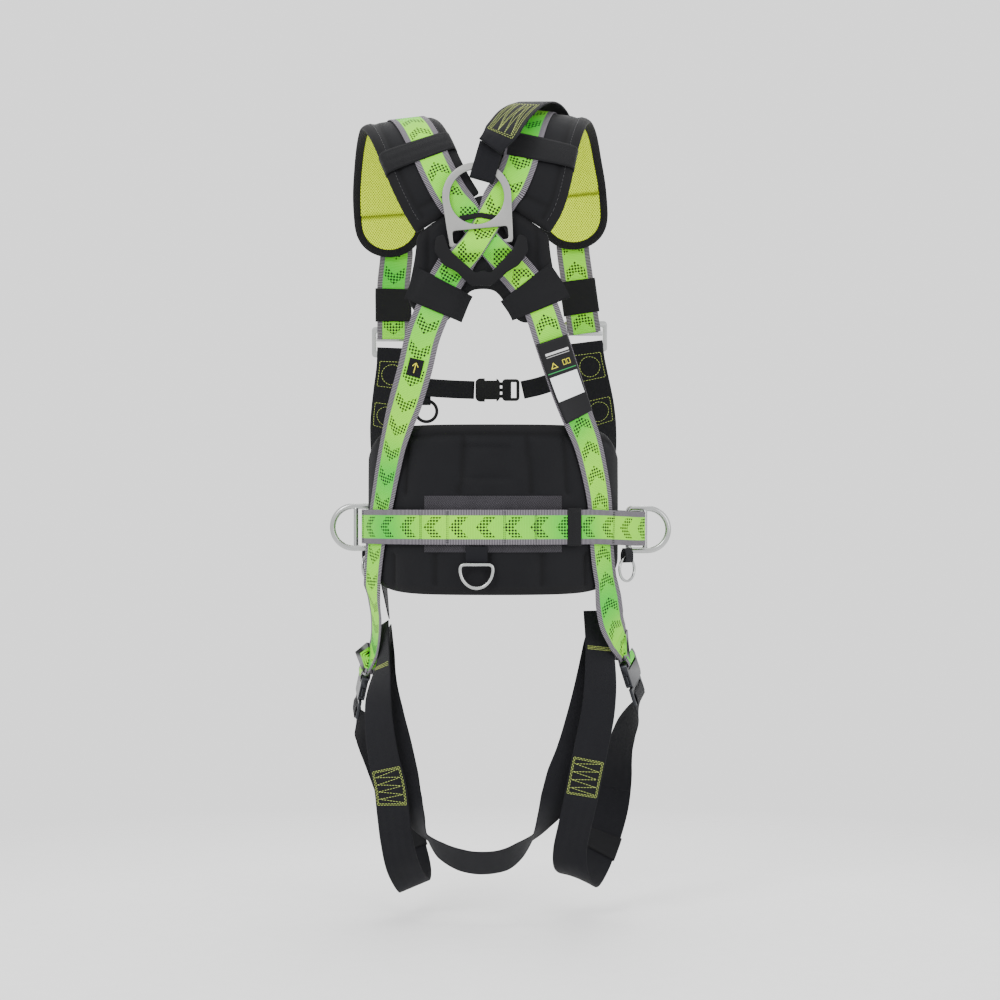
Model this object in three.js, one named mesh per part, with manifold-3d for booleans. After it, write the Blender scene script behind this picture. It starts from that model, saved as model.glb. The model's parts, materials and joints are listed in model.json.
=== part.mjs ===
// Full-body fall-arrest harness with a work-positioning belt, in its worn shape.
// Millimetres. +X is the wearer's right, +Y the wearer's front, +Z up. The origin is on the
// body-side face of the yoke pad, between the shoulder blades, just below the dorsal ring.
import * as THREE from 'three';
import { mergeVertices } from 'three/addons/utils/BufferGeometryUtils.js';
import Module from 'manifold-3d';

const wasm = await Module();
wasm.setup();

// ---------------------------------------------------------------- driving dimensions
const GAP = 0.4;
const WEB_WIDTH = 45;
const WEB_THICK = 1.4;
const BELT_WIDTH = 45;
const CHEST_WEB_WIDTH = 25;
const PAD_THICK = 12;
const PAD_WIDTH = 94;
const LAYER = WEB_THICK + GAP;

// waist section: an ellipse about the wearer's waist, at the lumbar pad's body side
const WAIST = { x: 13, y: 110, a: 158, b: 112 };
const LUMBAR_THICK = 13;
const LUMBAR_TOP = -210;
const LUMBAR_BOTTOM = -427;
const LUMBAR_SPREAD = 78;
const BELT_Z = -341;
const ON_LUMBAR = LUMBAR_THICK + GAP + 1.3;
const BELT_LIFT = LUMBAR_THICK + 6;

// dorsal ring: a forged plate with a round eye and a slot, leaning a little to the left
const RING = {
  x: -2, z: 23, lean: THREE.MathUtils.degToRad(5.6), back: 17.9, thick: 4,
  eyeHeight: 60, eyeRadius: 35, outerRadius: 44.5, slotHalf: 35.5, slotTop: 19, barHalf: 2.5, legHalf: 41,
};
const CROSS_RISE = 11.4;
const CROSS_GAP = 1.2;
const CROSS_WIDTH = 34;

const SIDE_RING = { rod: 4, halfHeight: 28, straight: 25 };

// ---------------------------------------------------------------- finishes
const LIME = 0x9be05a;
const BLACK = 0x1b1c20;
const PLASTIC = 0x232428;
const STEEL = 0xc4c6c4;
const DARK_STEEL = 0x3c3d40;
const FOAM = 0x16171a;

function finish(color, roughness, metalness) {
  return new THREE.MeshStandardMaterial({ color, roughness, metalness });
}

const harness = new THREE.Group();

function add(name, geometry, color, roughness = 0.85, metalness = 0, parent = harness) {
  const mesh = new THREE.Mesh(geometry, finish(color, roughness, metalness));
  mesh.name = name;
  parent.add(mesh);
  return mesh;
}

// ---------------------------------------------------------------- solids
function bare(geometry) {
  const copy = geometry.clone();
  copy.deleteAttribute('normal');
  copy.deleteAttribute('uv');
  return mergeVertices(copy, 1e-4);
}

function solid(geometry) {
  const closed = bare(geometry);
  return new wasm.Manifold(new wasm.Mesh({
    numProp: 3,
    vertProperties: new Float32Array(closed.attributes.position.array),
    triVerts: new Uint32Array(closed.index.array),
  }));
}

function fromSolid(manifold) {
  const mesh = manifold.getMesh();
  const geometry = new THREE.BufferGeometry();
  const count = mesh.vertProperties.length / mesh.numProp;
  const position = new Float32Array(count * 3);
  for (let i = 0; i < count; i++) {
    for (let k = 0; k < 3; k++) position[3 * i + k] = mesh.vertProperties[mesh.numProp * i + k];
  }
  geometry.setAttribute('position', new THREE.BufferAttribute(position, 3));
  geometry.setIndex(new THREE.BufferAttribute(new Uint32Array(mesh.triVerts), 1));
  geometry.computeVertexNormals();
  return geometry;
}

function join(...geometries) {
  return fromSolid(geometries.map(solid).reduce((all, one) => all.add(one)));
}

function cut(geometry, ...tools) {
  return fromSolid(tools.map(solid).reduce((rest, tool) => rest.subtract(tool), solid(geometry)));
}

function block(sx, sy, sz, x = 0, y = 0, z = 0) {
  return new THREE.BoxGeometry(sx, sy, sz).translate(x, y, z);
}

// a flat outline in X and Z, extruded from y = front to y = back
function plateXZ(shape, outerY, innerY, curveSegments = 12) {
  const options = { depth: innerY - outerY, bevelEnabled: false, curveSegments };
  const geometry = new THREE.ExtrudeGeometry(shape, options);
  return geometry.rotateX(Math.PI / 2).translate(0, innerY, 0);
}

function polygon(points) {
  return new THREE.Shape(points.map(([x, y]) => new THREE.Vector2(x, y)));
}

function roundedRect(width, height, radius) {
  const w = width / 2;
  const h = height / 2;
  const shape = new THREE.Shape();
  shape.moveTo(-w + radius, -h);
  shape.lineTo(w - radius, -h);
  shape.absarc(w - radius, -h + radius, radius, -Math.PI / 2, 0);
  shape.lineTo(w, h - radius);
  shape.absarc(w - radius, h - radius, radius, 0, Math.PI / 2);
  shape.lineTo(-w + radius, h);
  shape.absarc(-w + radius, h - radius, radius, Math.PI / 2, Math.PI);
  shape.lineTo(-w, -h + radius);
  shape.absarc(-w + radius, -h + radius, radius, Math.PI, 1.5 * Math.PI);
  return shape;
}

// ---------------------------------------------------------------- webbing routes
// A route is a list of rows [x, y, z, nx, ny, nz]: points on the webbing's middle and the way
// its outer face looks there.
class Route {
  constructor(rows) {
    this.curve = new THREE.CatmullRomCurve3(rows.map((r) => new THREE.Vector3(r[0], r[1], r[2])));
    this.curve.arcLengthDivisions = 40 * rows.length;
    this.normals = rows.map((r) => new THREE.Vector3(r[3], r[4], r[5]).normalize());
    this.length = this.curve.getLength();
  }

  // the frame at a fraction s of the length: point, across the width, outward, along
  frame(s) {
    const t = this.curve.getUtoTmapping(THREE.MathUtils.clamp(s, 0, 1));
    const at = t * (this.normals.length - 1);
    const i = Math.min(Math.floor(at), this.normals.length - 2);
    const hint = this.normals[i].clone().lerp(this.normals[i + 1], at - i);
    const along = this.curve.getTangent(t);
    const outward = hint.addScaledVector(along, -hint.dot(along)).normalize();
    const across = new THREE.Vector3().crossVectors(outward, along);
    return { point: this.curve.getPoint(t), across, outward, along };
  }

  place(s, u, h) {
    const f = this.frame(s);
    return f.point.addScaledVector(f.across, u).addScaledVector(f.outward, h);
  }

  // rows that follow this route at another height and side offset
  rows(from, to, count, height, side = () => 0) {
    return Array.from({ length: count }, (_, k) => {
      const s = from + (to - from) * k / (count - 1);
      const p = this.place(s, side(s), height);
      const n = this.frame(s).outward;
      return [p.x, p.y, p.z, n.x, n.y, n.z];
    });
  }
}

function evenStations(from, to, length, pitch) {
  const steps = Math.max(1, Math.round(length * (to - from) / pitch));
  return Array.from({ length: steps + 1 }, (_, k) => from + (to - from) * k / steps);
}

// webbing or padding laid along a route: a box whose corners follow it
function strip(route, options) {
  const { width, thick = WEB_THICK, lift = 0, from = 0, to = 1, pitch = 14, across = 1 } = options;
  const widthAt = typeof width === 'function' ? width : () => width;
  const stations = options.stations ?? evenStations(from, to, route.length, pitch);
  const steps = stations.length - 1;
  const geometry = new THREE.BoxGeometry(1, thick, 1, across, 1, steps);
  const position = geometry.attributes.position;
  const warp = options.warp ?? ((p) => p);
  for (let i = 0; i < position.count; i++) {
    const s = stations[Math.round((position.getZ(i) + 0.5) * steps)];
    const u = position.getX(i) * widthAt(s);
    const p = warp(route.place(s, u, lift + position.getY(i)));
    position.setXYZ(i, p.x, p.y, p.z);
  }
  return bare(geometry);
}

function smooth(value, start, end) {
  return THREE.MathUtils.smoothstep(value, start, end);
}

// a round rod bent into a closed loop: point(a) gives the middle line for a full turn of a
function rodLoop(point, normal, radius, around = 36, sides = 8) {
  const geometry = new THREE.TorusGeometry(1, 0.2, sides, around);
  const position = geometry.attributes.position;
  const step = 1e-3;
  for (let j = 0, n = 0; j <= sides; j++) {
    for (let i = 0; i <= around; i++, n++) {
      const a = (i % around) / around * 2 * Math.PI;
      const b = (j % sides) / sides * 2 * Math.PI;
      const along = point(a + step).sub(point(a - step)).normalize();
      const outward = new THREE.Vector3().crossVectors(along, normal).normalize();
      const p = point(a).addScaledVector(outward, radius * Math.cos(b));
      p.addScaledVector(normal, radius * Math.sin(b));
      position.setXYZ(n, p.x, p.y, p.z);
    }
  }
  return bare(geometry);
}

// ---------------------------------------------------------------- shoulders and yoke
// body-side lines of the shoulder pads, from the seam on the yoke, over the shoulder, to the chest
const PAD_LEFT = new Route([
  [-45, 0, 63, 0, -1, 0],
  [-57.7, 0, 83.4, 0, -1, 0],
  [-71, 5, 109, -0.05, -0.97, 0.2],
  [-87, 24, 145, -0.1, -0.8, 0.6],
  [-101, 55, 172, -0.12, -0.45, 0.88],
  [-114, 105, 186, -0.12, 0, 1],
  [-122, 150, 172, -0.12, 0.5, 0.86],
  [-128, 186, 140, -0.1, 0.82, 0.57],
  [-131, 206, 105, -0.06, 0.96, 0.26],
  [-129, 216, 68, -0.03, 1, 0.1],
  [-124, 219, 28, 0, 1, 0],
]);
const PAD_RIGHT = new Route([
  [45, 0, 63, 0, -1, 0],
  [57.7, 0, 83.4, 0, -1, 0],
  [66, 5, 111, 0.05, -0.97, 0.2],
  [74, 24, 149, 0.1, -0.8, 0.6],
  [84, 55, 180, 0.12, -0.45, 0.88],
  [94, 105, 195, 0.12, 0, 1],
  [104, 150, 181, 0.12, 0.5, 0.86],
  [112, 186, 149, 0.1, 0.82, 0.57],
  [119, 206, 114, 0.06, 0.96, 0.26],
  [122, 216, 78, 0.03, 1, 0.1],
  [121, 219, 38, 0, 1, 0],
]);
const PAD_END_LENGTH = 46;

function padWidth(route) {
  return (s) => {
    const left = (1 - s) * route.length;
    const ease = left > PAD_END_LENGTH ? 1 : Math.sqrt(1 - (1 - left / PAD_END_LENGTH) ** 2);
    return PAD_WIDTH * Math.max(ease, 0.3);
  };
}

function shoulderPad(route) {
  const from = GAP / route.length;
  return strip(route, {
    width: padWidth(route), thick: PAD_THICK, lift: PAD_THICK / 2, from, pitch: 13, across: 2,
  });
}

const YOKE_HALF = [
  [0, 83], [5, 86], [83, 38], [84, 24], [87, 0], [93, -28], [95, -50], [85, -66], [62, -77],
  [47, -76], [36, -62], [22, -40], [12, -33],
];

function yokePad() {
  const mirrored = YOKE_HALF.slice(1).reverse().map(([x, z]) => [-x, z]);
  return plateXZ(polygon([...YOKE_HALF, ...mirrored]), -PAD_THICK, 0);
}

// height above the middle of the dorsal ring's bar, in the ring's own leaning plane
function ringHeight(x, z) {
  return (z - RING.z) * Math.cos(RING.lean) - (x - RING.x) * Math.sin(RING.lean);
}

// the crossed straps come out through the ring's slot, pass over its bar and return to the pad
function throughSlot(p) {
  const v = ringHeight(p.x, p.z);
  const rise = CROSS_RISE * (1 - smooth(v, 2, RING.slotTop + 1)) * smooth(v, -25, -5);
  p.y -= rise * smooth(60 - p.y, 0, 40);
  return p;
}

// ---------------------------------------------------------------- main straps
const LOWER_Y = -(PAD_THICK + GAP + WEB_THICK / 2);
const UPPER_Y = LOWER_Y - WEB_THICK - CROSS_GAP;
const PAD_CLEAR = 1;
const ON_PAD = PAD_THICK + PAD_CLEAR + WEB_THICK / 2;

// from the left shoulder adjuster, over the shoulder, through the ring, to the right leg buckle
const MAIN_LEFT = new Route([
  [-125, 232, -84, 0, 1, 0],
  [-125, 233, -50, 0, 1, 0],
  [-125, 233.5, -10, 0, 1, 0],
  ...PAD_LEFT.rows(0.985, 0.02, 24, ON_PAD, (s) => -4 - 12 * (1 - s)),
  [-21, LOWER_Y, 62, 0, -1, 0],
  [-10, LOWER_Y, 47, 0, -1, 0],
  [1, LOWER_Y, 32, 0, -1, 0],
  [12, LOWER_Y, 18, 0, -1, 0],
  [26, LOWER_Y, 4, 0, -1, 0],
  [42, LOWER_Y, -12, 0, -1, 0],
  [59, LOWER_Y, -33, 0, -1, 0],
  [73, LOWER_Y, -56, 0, -1, 0],
  [88, -12, -100, 0.02, -1, 0],
  [98, -8, -130, 0.1, -1, 0],
  [110, -2, -165, 0.2, -0.98, 0],
  [123, 7, -200, 0.4, -0.9, 0.1],
  [135, 18.5, -230, 0.55, -0.83, 0.05],
  waistRow(49.6, ON_LUMBAR, -267),
  waistRow(53.3, ON_LUMBAR, -306),
  waistRow(54.4, ON_LUMBAR, -341),
  waistRow(56.2, ON_LUMBAR, -384),
  waistRow(58.5, ON_LUMBAR, -411),
  [164, 52, -437, 0.6, -0.8, 0],
  [169, 64, -464, 0.6, -0.8, 0],
  [178, 85, -487, 0.75, -0.65, 0],
  [184.5, 99, -500, 0.9, -0.35, 0],
  [187, 104, -507, 0.95, -0.25, 0],
]);
// from the right shoulder adjuster, over the shoulder, through the ring, to the left leg buckle
const MAIN_RIGHT = new Route([
  [139, 232, -76, 0, 1, 0],
  [134, 233, -44, 0, 1, 0],
  [128, 233.5, 0, 0, 1, 0],
  ...PAD_RIGHT.rows(0.985, 0.02, 24, ON_PAD, (s) => 29 - 8 * smooth(s, 0, 0.2) - 22 * smooth(s, 0.6, 0.95)),
  [12, UPPER_Y, 62, 0, -1, 0],
  [4, UPPER_Y, 47, 0, -1, 0],
  [-5, UPPER_Y, 32, 0, -1, 0],
  [-14, UPPER_Y, 18, 0, -1, 0],
  [-26, UPPER_Y, 4, 0, -1, 0],
  [-40, UPPER_Y, -12, 0, -1, 0],
  [-52, UPPER_Y, -33, 0, -1, 0],
  [-62, UPPER_Y, -57, 0, -1, 0],
  [-77, -14, -95, -0.02, -1, 0],
  [-87, -10, -136, -0.1, -1, 0],
  [-99, -2, -177, -0.2, -0.98, 0],
  [-108, 8, -203, -0.4, -0.9, 0.1],
  [-116, 20, -230, -0.6, -0.8, 0.05],
  waistRow(-52.6, ON_LUMBAR, -267),
  waistRow(-56.7, ON_LUMBAR, -306),
  waistRow(-61.2, ON_LUMBAR, -341),
  waistRow(-64.1, ON_LUMBAR, -372),
  waistRow(-66.4, ON_LUMBAR, -404),
  waistRow(-67, ON_LUMBAR, -425),
  [-143, 77, -452, -0.88, -0.46, 0],
  [-143, 96, -479, -0.93, -0.36, 0],
  [-147, 115, -506, -0.97, -0.25, 0],
  [-155, 128, -527, -0.95, -0.1, 0.1],
]);

function mainStrap(route) {
  const crossing = route.curve.points.findIndex((p) => p.z === 32);
  const at = arcFraction(route, crossing);
  const half = 56 / route.length;
  const width = (s) => {
    const away = smooth(Math.abs(s - at), 0.4 * half, half);
    return CROSS_WIDTH + (WEB_WIDTH - CROSS_WIDTH) * away;
  };
  const stations = [
    ...evenStations(0, at - half, route.length, 16),
    ...evenStations(at - half, at + half, route.length, 4.5).slice(1, -1),
    ...evenStations(at + half, 1, route.length, 16),
  ];
  return strip(route, { width, stations, across: 5, warp: throughSlot });
}

function arcFraction(route, index) {
  const t = index / (route.curve.points.length - 1);
  let low = 0;
  let high = 1;
  while (high - low > 1e-5) {
    const middle = (low + high) / 2;
    if (route.curve.getUtoTmapping(middle) < t) low = middle;
    else high = middle;
  }
  return (low + high) / 2;
}

// ---------------------------------------------------------------- bands on the pads
const BAND_THICK = 1.2;
const BAND_LIFT = PAD_THICK + PAD_CLEAR + WEB_THICK + GAP + BAND_THICK / 2;
const YOKE_BAND = { width: 80, above: 8, below: 32 };

function shoulderBand(route, at, length) {
  const half = length / 2 / route.length;
  return strip(route, {
    width: PAD_WIDTH,
    thick: BAND_THICK,
    lift: BAND_LIFT,
    from: at - half,
    to: at + half,
    pitch: 9,
    across: 2,
  });
}

// the band over a lower lobe lies square to the strap that it holds
function yokeBand(route) {
  const points = route.curve.points;
  const middle = arcFraction(route, points.findIndex((p) => p.z === -33));
  const from = middle - YOKE_BAND.above / route.length;
  const to = middle + YOKE_BAND.below / route.length;
  return strip(route, { width: YOKE_BAND.width, thick: BAND_THICK, lift: LAYER, from, to, pitch: 16 });
}

// ---------------------------------------------------------------- dorsal ring and plate
function dorsalRing() {
  const r = RING;
  const outline = new THREE.Shape();
  const shoulder = Math.asin((r.legHalf + 3.5) / r.outerRadius);
  outline.moveTo(-r.legHalf, -r.barHalf);
  outline.lineTo(r.legHalf, -r.barHalf);
  outline.lineTo(r.outerRadius * Math.sin(shoulder), r.eyeHeight - r.outerRadius * Math.cos(shoulder));
  outline.absarc(0, r.eyeHeight, r.outerRadius, shoulder - Math.PI / 2, 1.5 * Math.PI - shoulder, false);
  const eye = new THREE.Path().absarc(0, r.eyeHeight, r.eyeRadius, 0, 2 * Math.PI, true);
  const slot = new THREE.Path(roundedRect(2 * r.slotHalf, r.slotTop - r.barHalf, 3).getPoints(3)
    .map((p) => new THREE.Vector2(p.x, p.y + (r.slotTop + r.barHalf) / 2)).reverse());
  outline.holes.push(eye, slot);
  return plateXZ(outline, -(r.back + r.thick), -r.back, 20);
}

const PLATE_OUTER = 31;
const PLATE_INNER = 27.9;

// moulded guide over the crossed straps: a V window, with feet that stand on the yoke pad
function backPlate() {
  const outline = polygon([
    [-60, 30], [-62, 12], [-50, -6], [-34, -14], [-16, -32], [12, -32], [32, -14], [46, -6], [58, 12],
    [56, 30], [46, 34], [38, 14], [10, -16], [1, -12], [-9, -16], [-43, 14], [-50, 34],
  ]);
  const face = plateXZ(outline, -PLATE_OUTER, -PLATE_INNER);
  const depth = PLATE_OUTER - PAD_THICK - GAP;
  const middle = -(PLATE_OUTER + PAD_THICK + GAP) / 2;
  const feet = [[-56, 26], [52, 26], [-2, -26]].map(([x, z]) => block(7, depth, 8, x, middle, z));
  return join(face, ...feet);
}

// ---------------------------------------------------------------- extension strap
const EXTENSION = new Route([
  [9, -32, 146, 0, -1, 0.1],
  [22, -24, 163, -0.1, -0.9, 0.4],
  [40, 10, 192, -0.12, -0.75, 0.65],
  [60, 50, 212, -0.1, -0.4, 0.92],
  [78, 96, 220, 0.05, 0, 1],
  [94, 145, 209, 0.12, 0.45, 0.9],
  [106, 190, 178, 0.12, 0.8, 0.6],
  [113, 218, 140, 0.06, 0.95, 0.3],
]);

const LOOP = { tall: 42, outer: 4.8, inner: 2.6, open: 28, wide: 32, lean: 16, fromEye: 26 };

function extensionStrap() {
  return strip(EXTENSION, { width: (s) => 34 + 12 * smooth(s, 0, 0.1), thick: 2.8, pitch: 16, across: 2 });
}

// the strap's folded end, which passes through the ring's eye: local x depth, y up, z across
function extensionLoop() {
  const { tall, outer, inner, open, wide } = LOOP;
  const shape = new THREE.Shape();
  shape.moveTo(-outer, 0);
  shape.absarc(0, 0, outer, Math.PI, 2 * Math.PI, false);
  shape.lineTo(outer, open);
  shape.lineTo(WEB_THICK, tall);
  shape.lineTo(-WEB_THICK, tall);
  shape.lineTo(-outer, open);
  const hole = new THREE.Path();
  hole.moveTo(inner, 0);
  hole.lineTo(inner, open);
  hole.lineTo(0, open + 6);
  hole.lineTo(-inner, open);
  hole.lineTo(-inner, 0);
  hole.absarc(0, 0, inner, Math.PI, 2 * Math.PI, false);
  shape.holes.push(hole);
  const options = { depth: wide, bevelEnabled: false, curveSegments: 6 };
  const geometry = new THREE.ExtrudeGeometry(shape, options).translate(0, 0, -wide / 2);
  const depthUpAcross = new THREE.Matrix4().makeBasis(
    new THREE.Vector3(0, 1, 0), new THREE.Vector3(0, 0, 1), new THREE.Vector3(1, 0, 0),
  );
  return geometry.applyMatrix4(depthUpAcross);
}

// ---------------------------------------------------------------- chest
const INSIDE_BELT = 4;
const FRONT_LEFT = new Route([
  [-125, 232, -96, 0, 1, 0],
  [-126, 231, -122, 0, 1, 0],
  [-130, 228, -155, -0.05, 1, 0],
  [-133, 222, -183, -0.15, 0.98, 0],
  [-136, 211, -212, -0.4, 0.9, 0],
  [-140, 190, -251, -0.75, 0.65, 0],
  [-142, 168, -282, -0.86, 0.5, 0],
  waistRow(-112, INSIDE_BELT, -316),
  waistRow(-110, INSIDE_BELT, -341),
  waistRow(-107, INSIDE_BELT, -365),
  [-137, 136, -396, -0.96, 0.2, 0],
  [-132, 130, -430, -0.98, 0.1, 0],
  [-127, 124, -462, -0.98, 0, 0],
]);
const FRONT_RIGHT = new Route([
  [141, 232, -88, 0, 1, 0],
  [144, 231, -112, 0, 1, 0],
  [150, 228, -142, 0.05, 1, 0],
  [156, 222, -172, 0.15, 0.98, 0],
  [161, 211, -205, 0.4, 0.9, 0],
  [166, 190, -248, 0.75, 0.65, 0],
  [165, 167, -284, 0.86, 0.5, 0],
  [162, 155, -318, 0.9, 0.42, 0],
  [162, 149, -341, 0.93, 0.36, 0],
  [163, 141, -385, 0.97, 0.2, 0],
  [161, 130, -430, 0.98, 0.1, 0],
  [157, 120, -452, 0.98, 0, 0],
]);

function frontKeeper(route, from, to) {
  const outer = strip(route, { width: 50, thick: 6.2, from, to, pitch: 14 });
  const inner = strip(route, {
    width: 46, thick: 3.6, from: from - 0.01, to: to + 0.01, pitch: 14,
  });
  return cut(outer, inner);
}

// textile loop on the chest strap: sewn flat at both ends and bowed forward between them
function sternalLoop(route, from, to) {
  const steps = 10;
  const bow = (s) => 11 * Math.sin(Math.PI * THREE.MathUtils.clamp((s - from) / (to - from), 0, 1)) ** 2;
  const geometry = new THREE.BoxGeometry(40, 2, 1, 1, 1, steps);
  const position = geometry.attributes.position;
  for (let i = 0; i < position.count; i++) {
    const s = from + (to - from) * (position.getZ(i) + 0.5);
    const p = route.place(s, position.getX(i), 3.6 + bow(s) + position.getY(i));
    position.setXYZ(i, p.x, p.y, p.z);
  }
  return bare(geometry);
}

const ADJUSTER = { width: 60, height: 42, thick: 3.2, window: 48, bar: 6 };

function adjusterFrame() {
  const a = ADJUSTER;
  const face = roundedRect(a.width, a.height, 5);
  const hole = roundedRect(a.window, a.height - 16, 2).getPoints(3).reverse();
  face.holes.push(new THREE.Path(hole));
  return plateXZ(face, -a.thick / 2, a.thick / 2, 5);
}

const CHEST_LEFT = new Route([
  [-100, 236, -148, 0, 1, 0],
  [-72, 238, -151, 0, 1, 0],
  [-40, 239, -153, 0, 1, 0],
  [-13.5, 239, -154, 0, 1, 0],
]);
const CHEST_RIGHT = new Route([
  [53, 239, -154, 0, 1, 0],
  [75, 239, -149, 0, 1, 0],
  [100, 237, -141, 0, 1, 0],
  [122, 235, -134, 0, 1, 0],
]);

function chestSocket() {
  const body = plateXZ(roundedRect(34, 32, 7), -5, 5, 5);
  const mouth = block(24, 5.4, 24, 9, 0, 0);
  const sideSlots = [1, -1].map((side) => block(16, 12, 4, 4, 0, side * 15));
  return cut(body, mouth, ...sideSlots);
}

function chestPlug() {
  const frame = plateXZ(roundedRect(24, 30, 5), -4, 4, 5);
  const window = block(7, 10, 22, 4, 0, 0);
  const prong = (z) => block(20, 4.2, 4.4, -20, 0, z);
  return cut(join(frame, prong(0), prong(8.6), prong(-8.6)), window);
}

// ---------------------------------------------------------------- waist
function waistRow(degrees, offset, z) {
  const a = THREE.MathUtils.degToRad(degrees);
  const x = WAIST.x + (WAIST.a + offset) * Math.sin(a);
  const y = WAIST.y - (WAIST.b + offset) * Math.cos(a);
  const n = new THREE.Vector2(Math.sin(a) / WAIST.a, -Math.cos(a) / WAIST.b).normalize();
  return [x, y, z, n.x, n.y, 0];
}

function waistRoute(from, to, offset, z, step = 6) {
  const count = Math.round(Math.abs(to - from) / step) + 1;
  const rows = Array.from({ length: count }, (_, k) => {
    const angle = from + (to - from) * k / (count - 1);
    return waistRow(angle, offset, typeof z === 'function' ? z(angle) : z);
  });
  return new Route(rows);
}

// pad wrapped round the back: full height behind, rounded down to its ends at the hips
function lumbarPad() {
  const across = 26;
  const tall = 4;
  const geometry = new THREE.BoxGeometry(2, 1, 1, across, tall, 1);
  const position = geometry.attributes.position;
  for (let i = 0; i < position.count; i++) {
    const angle = position.getX(i) * LUMBAR_SPREAD;
    const ease = Math.sqrt(Math.max(0, 1 - (Math.abs(position.getX(i)) ** 5) * 0.62));
    const middle = (LUMBAR_TOP + LUMBAR_BOTTOM) / 2;
    const z = middle + position.getY(i) * (LUMBAR_TOP - LUMBAR_BOTTOM) * ease;
    const [x, y] = waistRow(angle, LUMBAR_THICK * (position.getZ(i) + 0.5), z);
    position.setXYZ(i, x, y, z);
  }
  return bare(geometry);
}

function beltRearRoute() {
  const rows = [];
  rows.push([-158.5, 104, BELT_Z, -1, -0.1, 0]);
  for (let angle = -78; angle <= 48; angle += 9) rows.push(waistRow(angle, BELT_LIFT, BELT_Z));
  rows.push([186, 61, BELT_Z - 2, 0.7, -0.7, 0]);
  rows.push([203, 80, BELT_Z - 3, 0.75, -0.66, 0]);
  rows.push([214, 96, BELT_Z - 3, 0.83, -0.56, 0]);
  return new Route(rows);
}

const BELT_REAR = beltRearRoute();
const BELT_FRONT_LEFT = new Route([
  [-157, 122, BELT_Z, -1, 0.05, 0],
  ...[-108, -120, -132, -144, -156, -168].map((angle) => waistRow(angle, 10, BELT_Z)),
  waistRow(-172, 10, BELT_Z),
]);
const BELT_FRONT_RIGHT = new Route([
  [214, 122, BELT_Z - 3, 0.8, 0.5, 0],
  [200, 146, BELT_Z - 2, 0.75, 0.65, 0],
  ...[132, 144, 156, 164].map((angle) => waistRow(angle, 10, BELT_Z)),
]);

// ---------------------------------------------------------------- rings
const TOOL_RING_ROD = 2.2;

function closedLine(points) {
  const curve = new THREE.CatmullRomCurve3(points, true, 'centripetal');
  return (a) => curve.getPointAt(((a / (2 * Math.PI)) % 1 + 1) % 1);
}

function sideRing(sign) {
  const { rod, halfHeight: h, straight } = SIDE_RING;
  const at = (x, z) => new THREE.Vector3(sign * x, 0, z);
  const arcPoint = (a) => at(h * Math.sin(a), h * Math.cos(a));
  const corner = 5;
  const line = [];
  for (let k = 0; k <= 14; k++) line.push(arcPoint(Math.PI * k / 14));
  line.push(at(-straight + corner, -h), at(-straight, -h + corner), at(-straight, h - corner));
  line.push(at(-straight + corner, h));
  const loop = rodLoop(closedLine(line), new THREE.Vector3(0, sign, 0), rod, 44, 8);
  const bar = new THREE.CylinderGeometry(rod * 0.8, rod * 0.8, 2 * h, 8).rotateX(Math.PI / 2);
  return join(loop, bar.translate(-sign * 3, 0, 0));
}

function roundRing(radius, rod) {
  return new THREE.TorusGeometry(radius, rod, 8, 28).rotateX(Math.PI / 2);
}

function toolRing() {
  const half = 21;
  const line = [];
  for (let k = 0; k <= 12; k++) {
    const a = Math.PI * k / 12;
    line.push(new THREE.Vector3(half * Math.cos(a), 0, -6 - 24 * Math.sin(a)));
  }
  line.push(new THREE.Vector3(-half + 4, 0, 0), new THREE.Vector3(half - 4, 0, 0));
  return rodLoop(closedLine(line), new THREE.Vector3(0, -1, 0), TOOL_RING_ROD, 32, 8);
}

const SIDE_LEFT = [-173, 113, BELT_Z - 1];
const SIDE_RIGHT = [218, 109, BELT_Z - 4];
const HIP_RADIUS = 15.5;
const HIP_LEFT = [-155.5, 130, -395];
const HIP_RIGHT = [189, 66, -397];

function adjusterBar() {
  return block(ADJUSTER.window - 1, ADJUSTER.thick, ADJUSTER.bar, 0, 0, 4);
}

// sewn tab whose fold holds a ring: local y across the ring's rod, z up
function foldedTab(width, tall, bore, drop) {
  const wall = 1.2;
  const floor = -bore - drop;
  const low = floor - wall;
  const body = block(width, 2 * (bore + wall), tall - low, 0, 0, (tall + low) / 2);
  const hole = block(width + 2, 2 * bore, bore - floor, 0, 0, (bore + floor) / 2);
  return cut(body, hole);
}

function ribbedBand() {
  const route = waistRoute(-31, 31, LUMBAR_THICK + GAP + 0.6, -337);
  return strip(route, { width: 73, thick: 1.2, pitch: 16 });
}

function beltKeeper() {
  const at = arcFraction(BELT_REAR, 13.7);
  const half = 10 / BELT_REAR.length;
  const outer = strip(BELT_REAR, {
    width: BELT_WIDTH + 4, thick: 4.4, from: at - half, to: at + half, pitch: 10,
  });
  const inner = strip(BELT_REAR, {
    width: BELT_WIDTH + 1, thick: 2.2, from: at - 1.2 * half, to: at + 1.2 * half, pitch: 12,
  });
  return cut(outer, inner);
}

function toolRingStrap() {
  return block(28, 1.6, 21, -8, -18.2, -376.2);
}

function labelPacket() {
  const from = arcFraction(MAIN_LEFT, MAIN_LEFT.curve.points.findIndex((p) => p.z === -100));
  const to = from + 106 / MAIN_LEFT.length;
  return strip(MAIN_LEFT, { width: 42, thick: 5, lift: 4.6, from, to, pitch: 11, across: 3 });
}

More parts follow.
